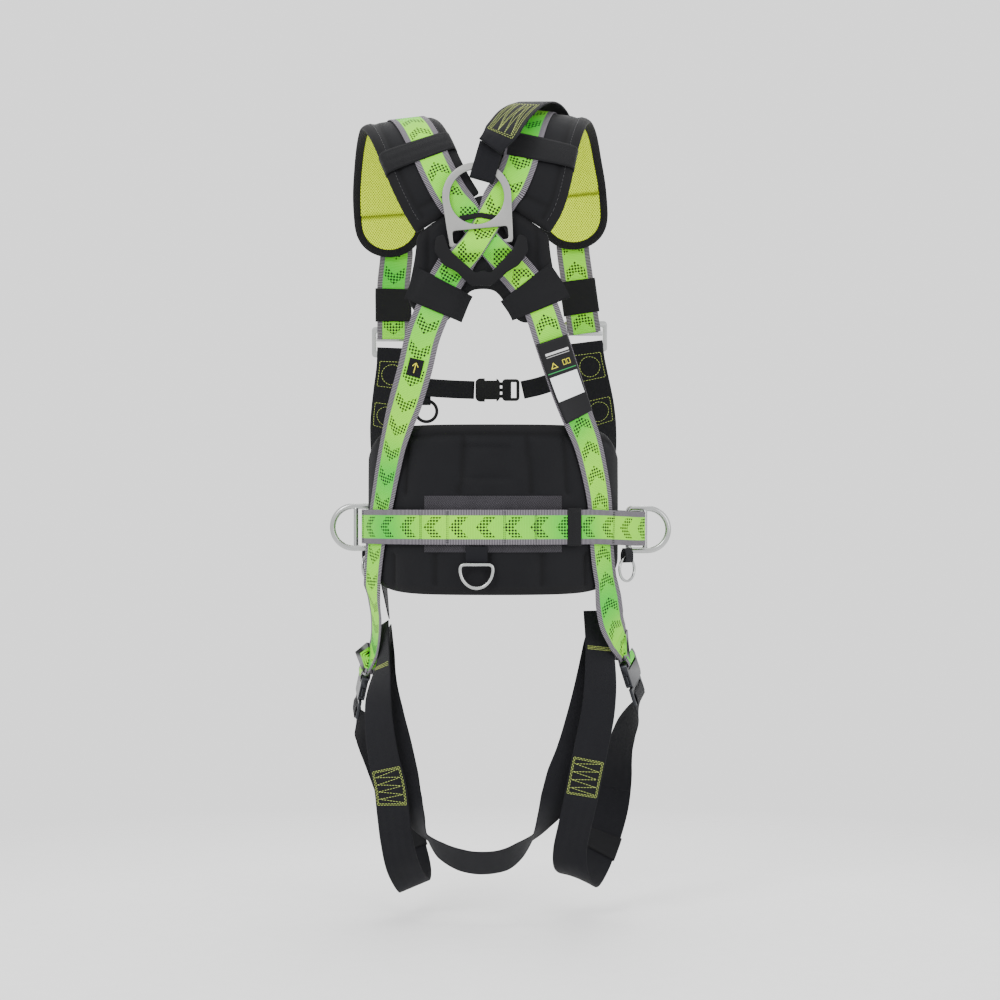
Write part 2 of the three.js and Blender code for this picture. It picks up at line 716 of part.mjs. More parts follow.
// ---------------------------------------------------------------- legs
const LEG_LEFT = new Route([
  [-133, 92, -470, -0.93, -0.37, 0],
  [-132, 85, -496, -0.94, -0.34, 0],
  [-133, 74, -523, -0.88, -0.47, 0],
  [-138, 61, -568, -0.62, -0.78, 0],
  [-136, 55, -607, -0.5, -0.86, 0],
  [-130, 52, -646, -0.42, -0.9, 0],
  [-122, 52, -682, -0.3, -0.95, 0],
  [-118, 57, -719, -0.25, -0.95, -0.15],
  [-113, 67, -760, -0.2, -0.9, -0.3],
  [-105, 84, -795, 0.1, -0.65, -0.7],
  [-92, 114, -821, 0.4, 0, -0.9],
  [-91, 145, -808, 0.4, 0.6, -0.65],
  [-100, 168, -775, 0.3, 0.9, -0.3],
  [-113, 183, -735, 0.1, 0.98, -0.1],
  [-128, 188, -694, -0.1, 0.98, 0],
  [-144, 182, -653, -0.4, 0.9, 0],
  [-157, 169, -628, -0.75, 0.65, 0],
  [-166, 157, -610, -0.9, 0.4, 0],
]);
const LEG_RIGHT = new Route([
  [152, 84, -452, 0.45, -0.88, 0],
  [153, 82, -478, 0.5, -0.86, 0],
  [154, 75, -506, 0.5, -0.86, 0],
  [154, 63, -549, 0.3, -0.95, 0],
  [150, 56, -588, 0.15, -0.98, 0],
  [142, 52, -627, 0.12, -0.98, 0],
  [134, 52, -666, 0.12, -0.98, 0],
  [127, 55, -702, 0.15, -0.97, -0.1],
  [120, 60, -734, 0.2, -0.95, -0.2],
  [114, 71, -768, 0.1, -0.9, -0.35],
  [116, 86, -794, -0.15, -0.65, -0.7],
  [131, 115, -812, -0.45, 0, -0.9],
  [146, 147, -799, -0.4, 0.6, -0.65],
  [160, 169, -771, -0.2, 0.95, -0.2],
  [173, 180, -729, 0, 1, 0],
  [179, 176, -690, 0.3, 0.93, 0],
  [185, 160, -640, 0.7, 0.7, 0],
  [195, 145, -606, 0.85, 0.5, 0],
]);
const SUB_PELVIC = new Route([
  [-127, 119, -478, -0.95, -0.2, 0],
  [-128, 104, -520, -0.85, -0.5, 0],
  [-128, 82, -556, -0.7, -0.7, 0],
  [-124, 71, -586, -0.5, -0.86, 0],
  [-114, 65, -628, -0.42, -0.9, 0],
  [-106, 64, -667, -0.35, -0.93, 0],
  [-99, 63, -703, -0.4, -0.9, -0.1],
  [-86, 59, -728, -0.65, -0.6, -0.45],
  [-73, 53, -748, -0.7, -0.2, -0.68],
  [-56, 47, -764, -0.4, -0.55, -0.72],
  [-30, 42, -776, -0.12, -0.72, -0.68],
  [-3, 40, -780, 0, -0.75, -0.66],
  [28, 42, -776, 0.12, -0.72, -0.68],
  [48, 47, -764, 0.4, -0.55, -0.72],
  [65, 53, -748, 0.7, -0.2, -0.68],
  [81, 60, -725, 0.65, -0.6, -0.45],
  [95, 65, -700, 0.35, -0.9, -0.1],
  [106, 66, -667, 0.15, -0.97, 0],
  [117, 66, -640, 0.12, -0.98, 0],
  [130, 70, -598, 0.15, -0.98, 0],
  [143, 80, -545, 0.3, -0.94, 0],
  [150, 98, -500, 0.6, -0.8, 0],
  [154, 113, -468, 0.9, -0.4, 0],
]);

// ---------------------------------------------------------------- quick-connect buckles
// Local axes: x across the webbing, y along it towards the receiver's strap, z outward.
const BUCKLE = { width: 58, length: 34, thick: 9, leverAcross: 26.9, leverAlong: -5 };

function buckleReceiver() {
  const b = BUCKLE;
  const body = new THREE.ExtrudeGeometry(roundedRect(b.width, b.length, 6), {
    depth: b.thick, bevelEnabled: false, curveSegments: 4,
  }).translate(0, 0, -b.thick / 2);
  const strapWindow = block(47, 6, b.thick + 2, 0, 9, 0);
  const mouth = block(47.4, 19, 4.4, 0, -9, 0);
  const leverPockets = [-1, 1].map((side) => block(9, 13, 4.8, side * 27, -5, 0));
  return cut(body, strapWindow, mouth, ...leverPockets);
}

function buckleLever() {
  return block(6, 11.6, 3.8);
}

function buckleTongue() {
  const b = BUCKLE;
  const blade = block(44, 18, 3, 0, 8, 0);
  const frame = block(b.width, 24, 4, 0, -12, 0);
  const window = block(47, 7, 8, 0, -8, 0);
  const lower = block(47, 4, 8, 0, -18, 0);
  return cut(join(blade, frame), window, lower);
}

// places a buckle: origin, direction along the webbing towards the receiver, and outward
function buckleGroup(prefix, origin, up, outward) {
  const group = new THREE.Group();
  const y = new THREE.Vector3(...up).normalize();
  const z = new THREE.Vector3(...outward);
  z.addScaledVector(y, -z.dot(y)).normalize();
  const x = new THREE.Vector3().crossVectors(y, z);
  group.quaternion.setFromRotationMatrix(new THREE.Matrix4().makeBasis(x, y, z));
  group.position.set(...origin);
  harness.add(group);
  add(`${prefix}_buckle_receiver`, buckleReceiver(), DARK_STEEL, 0.4, 0.9, group);
  const tongue = add(`${prefix}_buckle_tongue`, buckleTongue(), DARK_STEEL, 0.4, 0.9, group);
  tongue.position.y = -BUCKLE.length / 2 - 1;
  for (const [name, side] of [['front', 1], ['rear', -1]]) {
    const lever = add(`${prefix}_buckle_lever_${name}`, buckleLever(), DARK_STEEL, 0.35, 0.9, group);
    lever.position.set(side * BUCKLE.leverAcross, BUCKLE.leverAlong, 0);
  }
}

// ---------------------------------------------------------------- assembly: upper body
add('yoke_pad', yokePad(), FOAM);
add('shoulder_pad_left', shoulderPad(PAD_LEFT), FOAM);
add('shoulder_pad_right', shoulderPad(PAD_RIGHT), FOAM);
add('main_strap_left', mainStrap(MAIN_LEFT), LIME);
add('main_strap_right', mainStrap(MAIN_RIGHT), LIME);
add('shoulder_band_left', shoulderBand(PAD_LEFT, 0.215, 30), BLACK);
add('shoulder_band_right', shoulderBand(PAD_RIGHT, 0.21, 34), BLACK);
add('yoke_band_left', yokeBand(MAIN_RIGHT), BLACK);
add('yoke_band_right', yokeBand(MAIN_LEFT), BLACK);
add('back_plate', backPlate(), PLASTIC, 0.5);

const ring = add('dorsal_d_ring', dorsalRing(), STEEL, 0.35, 1);
ring.position.set(RING.x, 0, RING.z);
ring.rotation.y = -RING.lean;

const loop = add('extension_strap_loop', extensionLoop(), BLACK);
const loopLean = THREE.MathUtils.degToRad(LOOP.lean);
loop.position.set(
  RING.x - RING.eyeHeight * Math.sin(RING.lean) + LOOP.fromEye * Math.sin(loopLean),
  -(RING.back + RING.thick / 2),
  RING.z + RING.eyeHeight * Math.cos(RING.lean) + LOOP.fromEye * Math.cos(loopLean),
);
loop.rotation.y = loopLean;
add('extension_strap', extensionStrap(), BLACK);

// ---------------------------------------------------------------- assembly: chest
add('front_keeper_left', frontKeeper(MAIN_LEFT, 0.02, 0.057), BLACK);
add('front_keeper_right', frontKeeper(MAIN_RIGHT, 0.022, 0.06), BLACK);
add('front_strap_left', strip(FRONT_LEFT, { width: WEB_WIDTH, pitch: 10, across: 4 }), BLACK);
add('front_strap_right', strip(FRONT_RIGHT, { width: WEB_WIDTH, pitch: 10, across: 4 }), BLACK);
add('sternal_loop_left', sternalLoop(FRONT_LEFT, 0.08, 0.26), BLACK);
add('sternal_loop_right', sternalLoop(FRONT_RIGHT, 0.08, 0.27), BLACK);
add('chest_strap_left', strip(CHEST_LEFT, { width: CHEST_WEB_WIDTH, pitch: 30 }), BLACK);
add('chest_strap_right', strip(CHEST_RIGHT, { width: CHEST_WEB_WIDTH, pitch: 30 }), BLACK);

add('chest_buckle_socket', chestSocket(), PLASTIC, 0.5).position.set(5, 239, -154);
add('chest_buckle_plug', chestPlug(), PLASTIC, 0.5).position.set(37, 239, -154);
add('parking_ring', roundRing(14.5, 2.3), PLASTIC, 0.5).position.set(-80, 246, -183);
add('parking_ring_tab', foldedTab(12, 17, 3.4, 1.5), BLACK).position.set(-80, 246, -168.5);
for (const [side, x, z] of [['left', -125, -88], ['right', 140, -80]]) {
  add(`adjuster_frame_${side}`, adjusterFrame(), STEEL, 0.3, 1).position.set(x, 237, z);
  add(`adjuster_bar_${side}`, adjusterBar(), STEEL, 0.3, 1).position.set(x, 237, z);
}

// ---------------------------------------------------------------- assembly: waist
add('lumbar_pad', lumbarPad(), FOAM);
add('lumbar_ribbed_band', ribbedBand(), BLACK);
add('belt_webbing_rear', strip(BELT_REAR, { width: BELT_WIDTH, pitch: 15 }), LIME);
add('belt_keeper', beltKeeper(), BLACK);
add('belt_webbing_front_left', strip(BELT_FRONT_LEFT, { width: WEB_WIDTH, pitch: 20 }), LIME);
add('belt_webbing_front_right', strip(BELT_FRONT_RIGHT, { width: WEB_WIDTH, pitch: 20 }), LIME);
add('side_d_ring_left', sideRing(-1), STEEL, 0.25, 1).position.set(...SIDE_LEFT);
add('side_d_ring_right', sideRing(1), STEEL, 0.25, 1).position.set(...SIDE_RIGHT);
add('tool_d_ring', toolRing(), STEEL, 0.25, 1).position.set(-8, -23, -389);
add('tool_ring_strap', toolRingStrap(), BLACK);
for (const [side, place, turn] of [['left', HIP_LEFT, 68], ['right', HIP_RIGHT, 49]]) {
  const hip = add(`hip_ring_${side}`, roundRing(HIP_RADIUS, 1.9), STEEL, 0.25, 1);
  hip.position.set(...place);
  hip.rotation.z = THREE.MathUtils.degToRad(turn);
  const tab = add(`hip_ring_loop_${side}`, foldedTab(16, 12, 3.4, 2.2), BLACK);
  tab.position.set(place[0], place[1], place[2] + HIP_RADIUS);
  tab.rotation.z = hip.rotation.z;
}

// ---------------------------------------------------------------- assembly: legs
add('leg_strap_left', strip(LEG_LEFT, { width: WEB_WIDTH, pitch: 14, across: 4 }), BLACK);
add('leg_strap_right', strip(LEG_RIGHT, { width: WEB_WIDTH, pitch: 14, across: 4 }), BLACK);
add('sub_pelvic_strap', strip(SUB_PELVIC, { width: WEB_WIDTH, pitch: 16, across: 4 }), BLACK);
buckleGroup('leg_left', [-163, 139, -552], [0.22, -0.18, 0.96], [-1, -0.1, 0]);
buckleGroup('leg_right', [196, 114, -532], [-0.3, -0.22, 0.93], [0.95, -0.25, 0]);
buckleGroup('belt', [30, 238, -341], [1, 0, 0], [0, 1, 0]);
add('label_packet', labelPacket(), BLACK);

export default harness;
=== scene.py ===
import json
import math

import bmesh
import bpy
import numpy as np
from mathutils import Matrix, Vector

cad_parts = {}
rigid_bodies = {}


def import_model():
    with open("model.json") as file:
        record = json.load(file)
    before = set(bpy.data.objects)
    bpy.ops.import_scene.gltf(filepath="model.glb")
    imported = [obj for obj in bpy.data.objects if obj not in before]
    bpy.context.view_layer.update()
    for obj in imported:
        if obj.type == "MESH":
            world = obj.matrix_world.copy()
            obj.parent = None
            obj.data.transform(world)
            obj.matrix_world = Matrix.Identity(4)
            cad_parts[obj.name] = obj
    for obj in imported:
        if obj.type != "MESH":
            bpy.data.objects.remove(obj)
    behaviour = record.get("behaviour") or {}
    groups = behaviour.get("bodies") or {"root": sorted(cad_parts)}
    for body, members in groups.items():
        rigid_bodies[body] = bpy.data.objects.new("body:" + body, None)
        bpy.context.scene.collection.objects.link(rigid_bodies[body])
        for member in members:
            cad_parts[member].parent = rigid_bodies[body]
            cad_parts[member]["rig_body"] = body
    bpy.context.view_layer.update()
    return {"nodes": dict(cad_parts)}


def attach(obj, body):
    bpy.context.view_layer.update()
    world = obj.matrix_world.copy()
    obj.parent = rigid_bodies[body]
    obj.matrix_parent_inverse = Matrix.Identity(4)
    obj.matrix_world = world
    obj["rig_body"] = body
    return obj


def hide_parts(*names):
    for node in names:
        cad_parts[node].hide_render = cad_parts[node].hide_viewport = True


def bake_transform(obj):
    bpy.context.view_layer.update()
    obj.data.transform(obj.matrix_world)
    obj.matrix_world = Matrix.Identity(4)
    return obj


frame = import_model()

MM = 0.001

# ---------------------------------------------------------------- camera, lights and world
def aim(obj, target):
    obj.rotation_euler = (Vector(target) - obj.location).to_track_quat("-Z", "Y").to_euler()


camera = bpy.data.objects.new("camera", bpy.data.cameras.new("camera"))
bpy.context.scene.collection.objects.link(camera)
bpy.context.scene.camera = camera
camera.data.lens = 92.4
camera.data.clip_end = 60
camera.location = (0.022, -3.31, -0.306)
aim(camera, (0.022, 0, -0.306))


def link(obj):
    bpy.context.scene.collection.objects.link(obj)
    return obj


def area_light(name, at, target, size, power):
    lamp = bpy.data.lights.new(name, "AREA")
    lamp.shape = "DISK"
    lamp.size = size
    lamp.energy = power
    obj = link(bpy.data.objects.new(name, lamp))
    obj.location = at
    aim(obj, target)


area_light("key", (-1.7, -2.6, 1.9), (0, 0, -0.3), 1.3, 60)
area_light("fill", (2.2, -2.4, 0.6), (0, 0, -0.3), 2.2, 34)
area_light("top", (0.0, 0.4, 2.6), (0, 0, -0.3), 1.8, 30)
area_light("front", (0.4, 2.8, 1.0), (0, 0, -0.3), 2.4, 34)
world = bpy.data.worlds.new("studio")
bpy.context.scene.world = world
world.use_nodes = True
world.node_tree.nodes["Background"].inputs["Color"].default_value = (1, 1, 1, 1)
world.node_tree.nodes["Background"].inputs["Strength"].default_value = 1.55


# ---------------------------------------------------------------- materials
class Paint:
    """A procedural material, built from short expressions over its node tree."""

    def __init__(self, name):
        self.material = bpy.data.materials.new(name)
        self.material.use_nodes = True
        self.nodes = self.material.node_tree.nodes
        self.links = self.material.node_tree.links
        self.shader = self.nodes["Principled BSDF"]

    def plug(self, socket, value):
        if isinstance(value, bpy.types.NodeSocket):
            self.links.new(value, socket)
        elif hasattr(value, "__len__") and len(value) == 3 and socket.type == "RGBA":
            socket.default_value = (*value, 1)
        else:
            socket.default_value = value

    def node(self, kind, values=(), **settings):
        made = self.nodes.new(kind)
        for key, value in settings.items():
            setattr(made, key, value)
        for key, value in dict(values).items():
            self.plug(made.inputs[key], value)
        return made

    def math(self, operation, a, b=0.0, c=0.0):
        return self.node("ShaderNodeMath", {0: a, 1: b, 2: c}, operation=operation).outputs[0]

    def add(self, a, b):
        return self.math("ADD", a, b)

    def times(self, a, b):
        return self.math("MULTIPLY", a, b)

    def both(self, *masks):
        made = masks[0]
        for mask in masks[1:]:
            made = self.times(made, mask)
        return made

    def either(self, *masks):
        made = masks[0]
        for mask in masks[1:]:
            made = self.math("MAXIMUM", made, mask)
        return made

    def above(self, value, limit, soft=1e-4):
        made = self.node("ShaderNodeMapRange", {0: value, 1: limit - soft, 2: limit + soft, 3: 0.0, 4: 1.0})
        return made.outputs[0]

    def below(self, value, limit, soft=1e-4):
        made = self.node("ShaderNodeMapRange", {0: value, 1: limit - soft, 2: limit + soft, 3: 1.0, 4: 0.0})
        return made.outputs[0]

    def wave(self, value, pitch):
        return self.add(self.times(self.math("SINE", self.times(value, 2 * math.pi / pitch)), 0.5), 0.5)

    def cell(self, value, pitch, shift=0.0):
        """distance from the middle of the nearest cell, in cells"""
        turned = self.math("FRACT", self.add(self.times(value, 1 / pitch), 0.5 + shift))
        return self.math("ABSOLUTE", self.add(turned, -0.5))

    def mix(self, mask, a, b):
        made = self.node("ShaderNodeMix", {0: mask, 6: a, 7: b}, data_type="RGBA")
        return made.outputs[2]

    def noise(self, vector, scale, detail=3.0):
        return self.node("ShaderNodeTexNoise",
                         {"Vector": vector, "Scale": scale, "Detail": detail}).outputs[0]

    def place(self):
        return self.node("ShaderNodeTexCoord").outputs["Object"]

    def laid(self, name):
        vector = self.node("ShaderNodeAttribute", attribute_name=name).outputs["Vector"]
        parts = self.node("ShaderNodeSeparateXYZ", {0: vector}).outputs
        return vector, parts[0], parts[1], parts[2]

    def bump(self, height, distance, after=None):
        made = self.node("ShaderNodeBump", {"Height": height, "Distance": distance, "Strength": 1.0})
        if after is not None:
            self.links.new(after, made.inputs["Normal"])
        return made.outputs[0]

    def finish(self, color, roughness, normal=None, **constants):
        self.plug(self.shader.inputs["Base Color"], color)
        self.plug(self.shader.inputs["Roughness"], roughness)
        if normal is not None:
            self.links.new(normal, self.shader.inputs["Normal"])
        for key, value in constants.items():
            self.shader.inputs[key.replace("_", " ")].default_value = value
        return self.material


INK = (0.002, 0.002, 0.0025)
BLACK = (0.0016, 0.0016, 0.0026)
BLACK_WORN = (0.0075, 0.0078, 0.0110)
SHEEN = {"Sheen_Weight": 0.03, "Sheen_Roughness": 0.5, "Specular_IOR_Level": 0.16}


def make_lime_webbing():
    p = Paint("lime_webbing")
    vector, u, v, side = p.laid("web")
    across = p.math("ABSOLUTE", u)
    edge = p.above(across, 15.2 * MM, 0.25 * MM)
    swing = p.wave(p.add(v, p.times(u, 0.35)), 262 * MM)
    tint = p.mix(p.math("POWER", swing, 1.6), (0.27, 0.84, 0.012), (0.008, 0.56, 0.030))
    tint = p.mix(p.times(p.wave(v, 131 * MM), 0.35), tint, (0.38, 0.93, 0.02))
    turned = p.math("FRACT", p.times(v, 1 / (35 * MM)))
    rise = p.add(p.times(turned, 35 * MM), p.add(p.times(across, -0.85), -5 * MM))
    chevron = p.both(p.above(rise, 0.0), p.below(rise, 14 * MM), p.below(across, 13 * MM))
    dots = p.below(p.add(p.cell(u, 4.1 * MM), p.cell(v, 4.1 * MM)), 0.47, 0.03)
    ribs = p.wave(v, 2.1 * MM)
    body = p.mix(p.times(ribs, 0.30), tint, (0.08, 0.34, 0.01))
    body = p.mix(p.both(chevron, dots), body, INK)
    border = p.mix(p.above(ribs, 0.5, 0.35), (0.022, 0.019, 0.025), (0.23, 0.21, 0.24))
    color = p.mix(edge, body, border)
    fibre = p.noise(vector, 1500.0, 2.0)
    color = p.mix(p.times(fibre, 0.10), color, (0.03, 0.05, 0.02))
    height = p.add(ribs, p.times(fibre, 0.5))
    return p.finish(color, 0.62, p.bump(height, 0.30 * MM), **SHEEN)


def make_black_webbing(name, along, cross, depth, base=BLACK, worn=BLACK_WORN):
    p = Paint(name)
    vector, u, v, side = p.laid("web")
    twill = p.wave(p.add(v,
                         p.times(p.math("ABSOLUTE", p.add(p.times(p.cell(u, 11 * MM), 11 * MM), 0.0)),
                                 1.0)), along)
    warp = p.wave(u, cross)
    fibre = p.noise(vector, 900.0, 3.0)
    drift = p.noise(vector, 26.0, 2.0)
    shade = p.add(p.times(twill, 0.30), p.add(p.times(fibre, 0.30), p.times(drift, 0.35)))
    color = p.mix(shade, base, worn)
    height = p.add(p.add(twill, p.times(warp, 0.6)), p.times(fibre, 0.6))
    rough = p.add(0.58, p.times(fibre, 0.22))
    return p.finish(color, rough, p.bump(height, depth), **SHEEN)


def make_pad_fabric(name, lime_inside):
    """outer face of close black fabric, body side of spacer mesh, tape bound round the rim"""
    p = Paint(name)
    vector, u, v, h = p.laid("pad")
    rim_vector, rim, inner, seam = p.laid("pad_zone")
    place = p.place()
    weave = p.noise(place, 1400.0, 2.0)
    folds = p.noise(place, 34.0, 3.0)
    cloth = p.mix(p.add(p.times(weave, 0.45), p.times(folds, 0.35)), BLACK, (0.0085, 0.0088, 0.0105))
    tape = p.mix(p.times(p.wave(p.add(u, v), 1.1 * MM), 0.45), (0.0030, 0.0030, 0.0036),
                 (0.0105, 0.0105, 0.0125))
    color = cloth
    height = p.add(p.times(weave, 0.5), p.times(folds, 2.2))
    pitch = 3.4 * MM
    hole_a = p.add(p.math("POWER", p.cell(u, pitch), 2.0), p.math("POWER", p.cell(v, pitch * 1.3), 2.0))
    hole_b = p.add(p.math("POWER", p.cell(u, pitch, 0.5), 2.0),
                   p.math("POWER", p.cell(v, pitch * 1.3, 0.5), 2.0))
    holes = p.either(p.below(hole_a, 0.045, 0.03), p.below(hole_b, 0.045, 0.03))
    if lime_inside:
        knit = p.mix(p.times(p.noise(place, 700.0, 2.0), 0.5), (0.74, 0.92, 0.004), (0.60, 0.80, 0.004))
        pierced = p.mix(p.times(holes, 0.95), knit, (0.16, 0.25, 0.004))
    else:
        knit = p.mix(p.times(weave, 0.5), (0.020, 0.020, 0.023), (0.035, 0.035, 0.040))
        pierced = p.mix(holes, knit, (0.004, 0.004, 0.004))
    color = p.mix(inner, color, pierced)
    height = p.add(height, p.times(p.both(holes, inner), -2.2))
    bound = p.below(rim, 9 * MM, 0.3 * MM)
    color = p.mix(bound, color, tape)
    color = p.mix(p.times(seam, 0.75), color, INK)
    return p.finish(color, 0.74, p.bump(height, 0.28 * MM), **SHEEN)


def make_metal(name, base, dark, roughness, wear):
    p = Paint(name)
    place = p.place()
    grain = p.noise(place, 420.0, 4.0)
    cloud = p.noise(place, 30.0, 3.0)
    stretched = p.node("ShaderNodeMapping", {"Vector": place, "Scale": (60.0, 60.0, 900.0)}).outputs[0]
    brushed = p.noise(stretched, 1.0, 2.0)
    mottled = p.add(p.times(cloud, 0.55), p.times(grain, 0.25))
    color = p.mix(mottled, base, dark)
    rough = p.add(roughness - 0.10, p.add(p.times(grain, 0.12), p.times(cloud, 0.10)))
    normal = p.bump(p.add(grain, p.times(brushed, 0.5)), wear)
    return p.finish(color, rough, normal, Metallic=1.0)


def make_plastic(name, base, light, roughness, grain_size):
    p = Paint(name)
    place = p.place()
    grain = p.noise(place, grain_size, 2.0)
    cloud = p.noise(place, 22.0, 2.0)
    color = p.mix(p.add(p.times(cloud, 0.5), p.times(grain, 0.2)), base, light)
    rough = p.add(roughness, p.times(grain, 0.18))
    return p.finish(color, rough, p.bump(grain, 0.10 * MM), Specular_IOR_Level=0.18)


def make_thread(name, base, dark):
    p = Paint(name)
    place = p.place()
    twist = p.noise(place, 1800.0, 2.0)
    return p.finish(p.mix(twist, base, dark), 0.6, p.bump(twist, 0.08 * MM), Sheen_Weight=0.2)


def make_label():
    p = Paint("label_vinyl")
    vector, u, v, side = p.laid("web")
    grain = p.noise(vector, 420.0, 2.0)
    black = p.mix(p.times(grain, 0.4), (0.004, 0.004, 0.005), (0.012, 0.012, 0.014))
    field = p.both(p.above(v, 46 * MM), p.below(v, 78 * MM), p.below(p.math("ABSOLUTE", u), 18.5 * MM))
    paper = p.mix(p.times(p.noise(vector, 60.0, 2.0), 0.3), (0.82, 0.84, 0.85), (0.68, 0.70, 0.72))
    color = p.mix(field, black, paper)
    stripe = p.both(p.above(v, 40.5 * MM), p.below(v, 41.6 * MM), p.below(p.math("ABSOLUTE", u), 19 * MM))
    color = p.mix(stripe, color, (0.02, 0.28, 0.07))
    title = p.both(p.above(v, 15 * MM), p.below(v, 18 * MM), p.above(u, -14 * MM), p.below(u, 17 * MM))
    color = p.mix(title, color, (0.55, 0.55, 0.55))
    rule = p.both(p.above(v, 20 * MM), p.below(v, 20.8 * MM), p.above(u, -14 * MM), p.below(u, 17 * MM))
    color = p.mix(rule, color, (0.4, 0.4, 0.4))
    left = p.math("ABSOLUTE", p.add(u, 8 * MM))
    tall = p.add(v, -28 * MM)
    sign = p.both(p.above(tall, 0), p.below(tall, 8 * MM), p.below(p.add(left, p.times(tall, -0.6)), 0.0))
    core = p.both(p.above(tall, 2.2 * MM), p.below(tall, 7 * MM),
                  p.below(p.add(left, p.times(tall, -0.6)), -1.2 * MM))
    color = p.mix(p.times(sign, p.add(1.0, p.times(core, -1.0))), color, (0.65, 0.60, 0.03))
    right = p.math("ABSOLUTE", p.add(u, -9 * MM))
    pages = p.both(p.above(tall, 0.5 * MM), p.below(tall, 7.5 * MM), p.below(right, 5 * MM),
                   p.above(right, 0.5 * MM))
    inset = p.both(p.above(tall, 1.3 * MM), p.below(tall, 6.7 * MM), p.below(right, 4.3 * MM),
                   p.above(right, 1.1 * MM))
    color = p.mix(p.times(pages, p.add(1.0, p.times(inset, -1.0))), color, (0.65, 0.60, 0.03))
    return p.finish(color, 0.50, p.bump(grain, 0.12 * MM), Specular_IOR_Level=0.2)


LIME_WEB = make_lime_webbing()
BLACK_WEB = make_black_webbing("black_webbing", 2.1 * MM, 1.0 * MM, 0.28 * MM)
ELASTIC = make_black_webbing("elastic_band", 0.9 * MM, 1.5 * MM, 0.16 * MM, (0.0028, 0.0028, 0.0034),
                             (0.0085, 0.0088, 0.0105))
SHOULDER_CLOTH = make_pad_fabric("shoulder_cloth", True)
YOKE_CLOTH = make_pad_fabric("yoke_cloth", True)
LUMBAR_CLOTH = make_pad_fabric("lumbar_cloth", False)
SATIN_STEEL = make_metal("satin_steel", (0.36, 0.36, 0.35), (0.25, 0.25, 0.245), 0.46, 0.05 * MM)
BRIGHT_STEEL = make_metal("bright_steel", (0.46, 0.47, 0.46), (0.32, 0.33, 0.33), 0.24, 0.03 * MM)
DARK_STEEL = make_metal("dark_steel", (0.050, 0.052, 0.058), (0.025, 0.026, 0.030), 0.34, 0.05 * MM)
PLASTIC = make_plastic("moulded_plastic", (0.0016, 0.0016, 0.0022), (0.0050, 0.0050, 0.0065), 0.50, 900.0)
THREAD = make_thread("pale_thread", (0.50, 0.60, 0.12), (0.30, 0.38, 0.06))
DARK_THREAD = make_thread("dark_thread", (0.020, 0.020, 0.023), (0.008, 0.008, 0.009))
LABEL = make_label()
RIBBED = make_black_webbing("ribbed_band", 3.2 * MM, 1.5 * MM, 0.9 * MM, (0.0030, 0.0030, 0.0036),
                            (0.075, 0.070, 0.082))
MARK = make_thread("yellow_print", (0.78, 0.74, 0.03), (0.66, 0.62, 0.02))


# ---------------------------------------------------------------- routes
WEB_WIDTH = 45 * MM
WEB_THICK = 1.4 * MM
CHEST_WEB_WIDTH = 25 * MM
PAD_THICK = 12 * MM
PAD_WIDTH = 94 * MM
GAP = 0.4 * MM
PAD_CLEAR = 1 * MM
LUMBAR_THICK = 13 * MM
LUMBAR_TOP = -210 * MM
LUMBAR_BOTTOM = -427 * MM
LUMBAR_SPREAD = 78
LUMBAR_ARC = 185 * MM
BELT_Z = -341
ON_LUMBAR = 14.7
BELT_LIFT = 19
ON_PAD = PAD_THICK + PAD_CLEAR + WEB_THICK / 2
WAIST = {"x": 13, "y": 110, "a": 158, "b": 112}
RING = {"x": -2 * MM, "z": 23 * MM, "lean": math.radians(5.6), "back": 17.9 * MM, "thick": 4 * MM}
SAMPLES_PER_SPAN = 40


def smooth(value, start, end):
    t = np.clip((np.asarray(value, float) - start) / (end - start), 0, 1)
    return t * t * (3 - 2 * t)


def unit(v):
    v = np.asarray(v, float)
    return v / np.maximum(np.linalg.norm(v, axis=-1, keepdims=True), 1e-12)


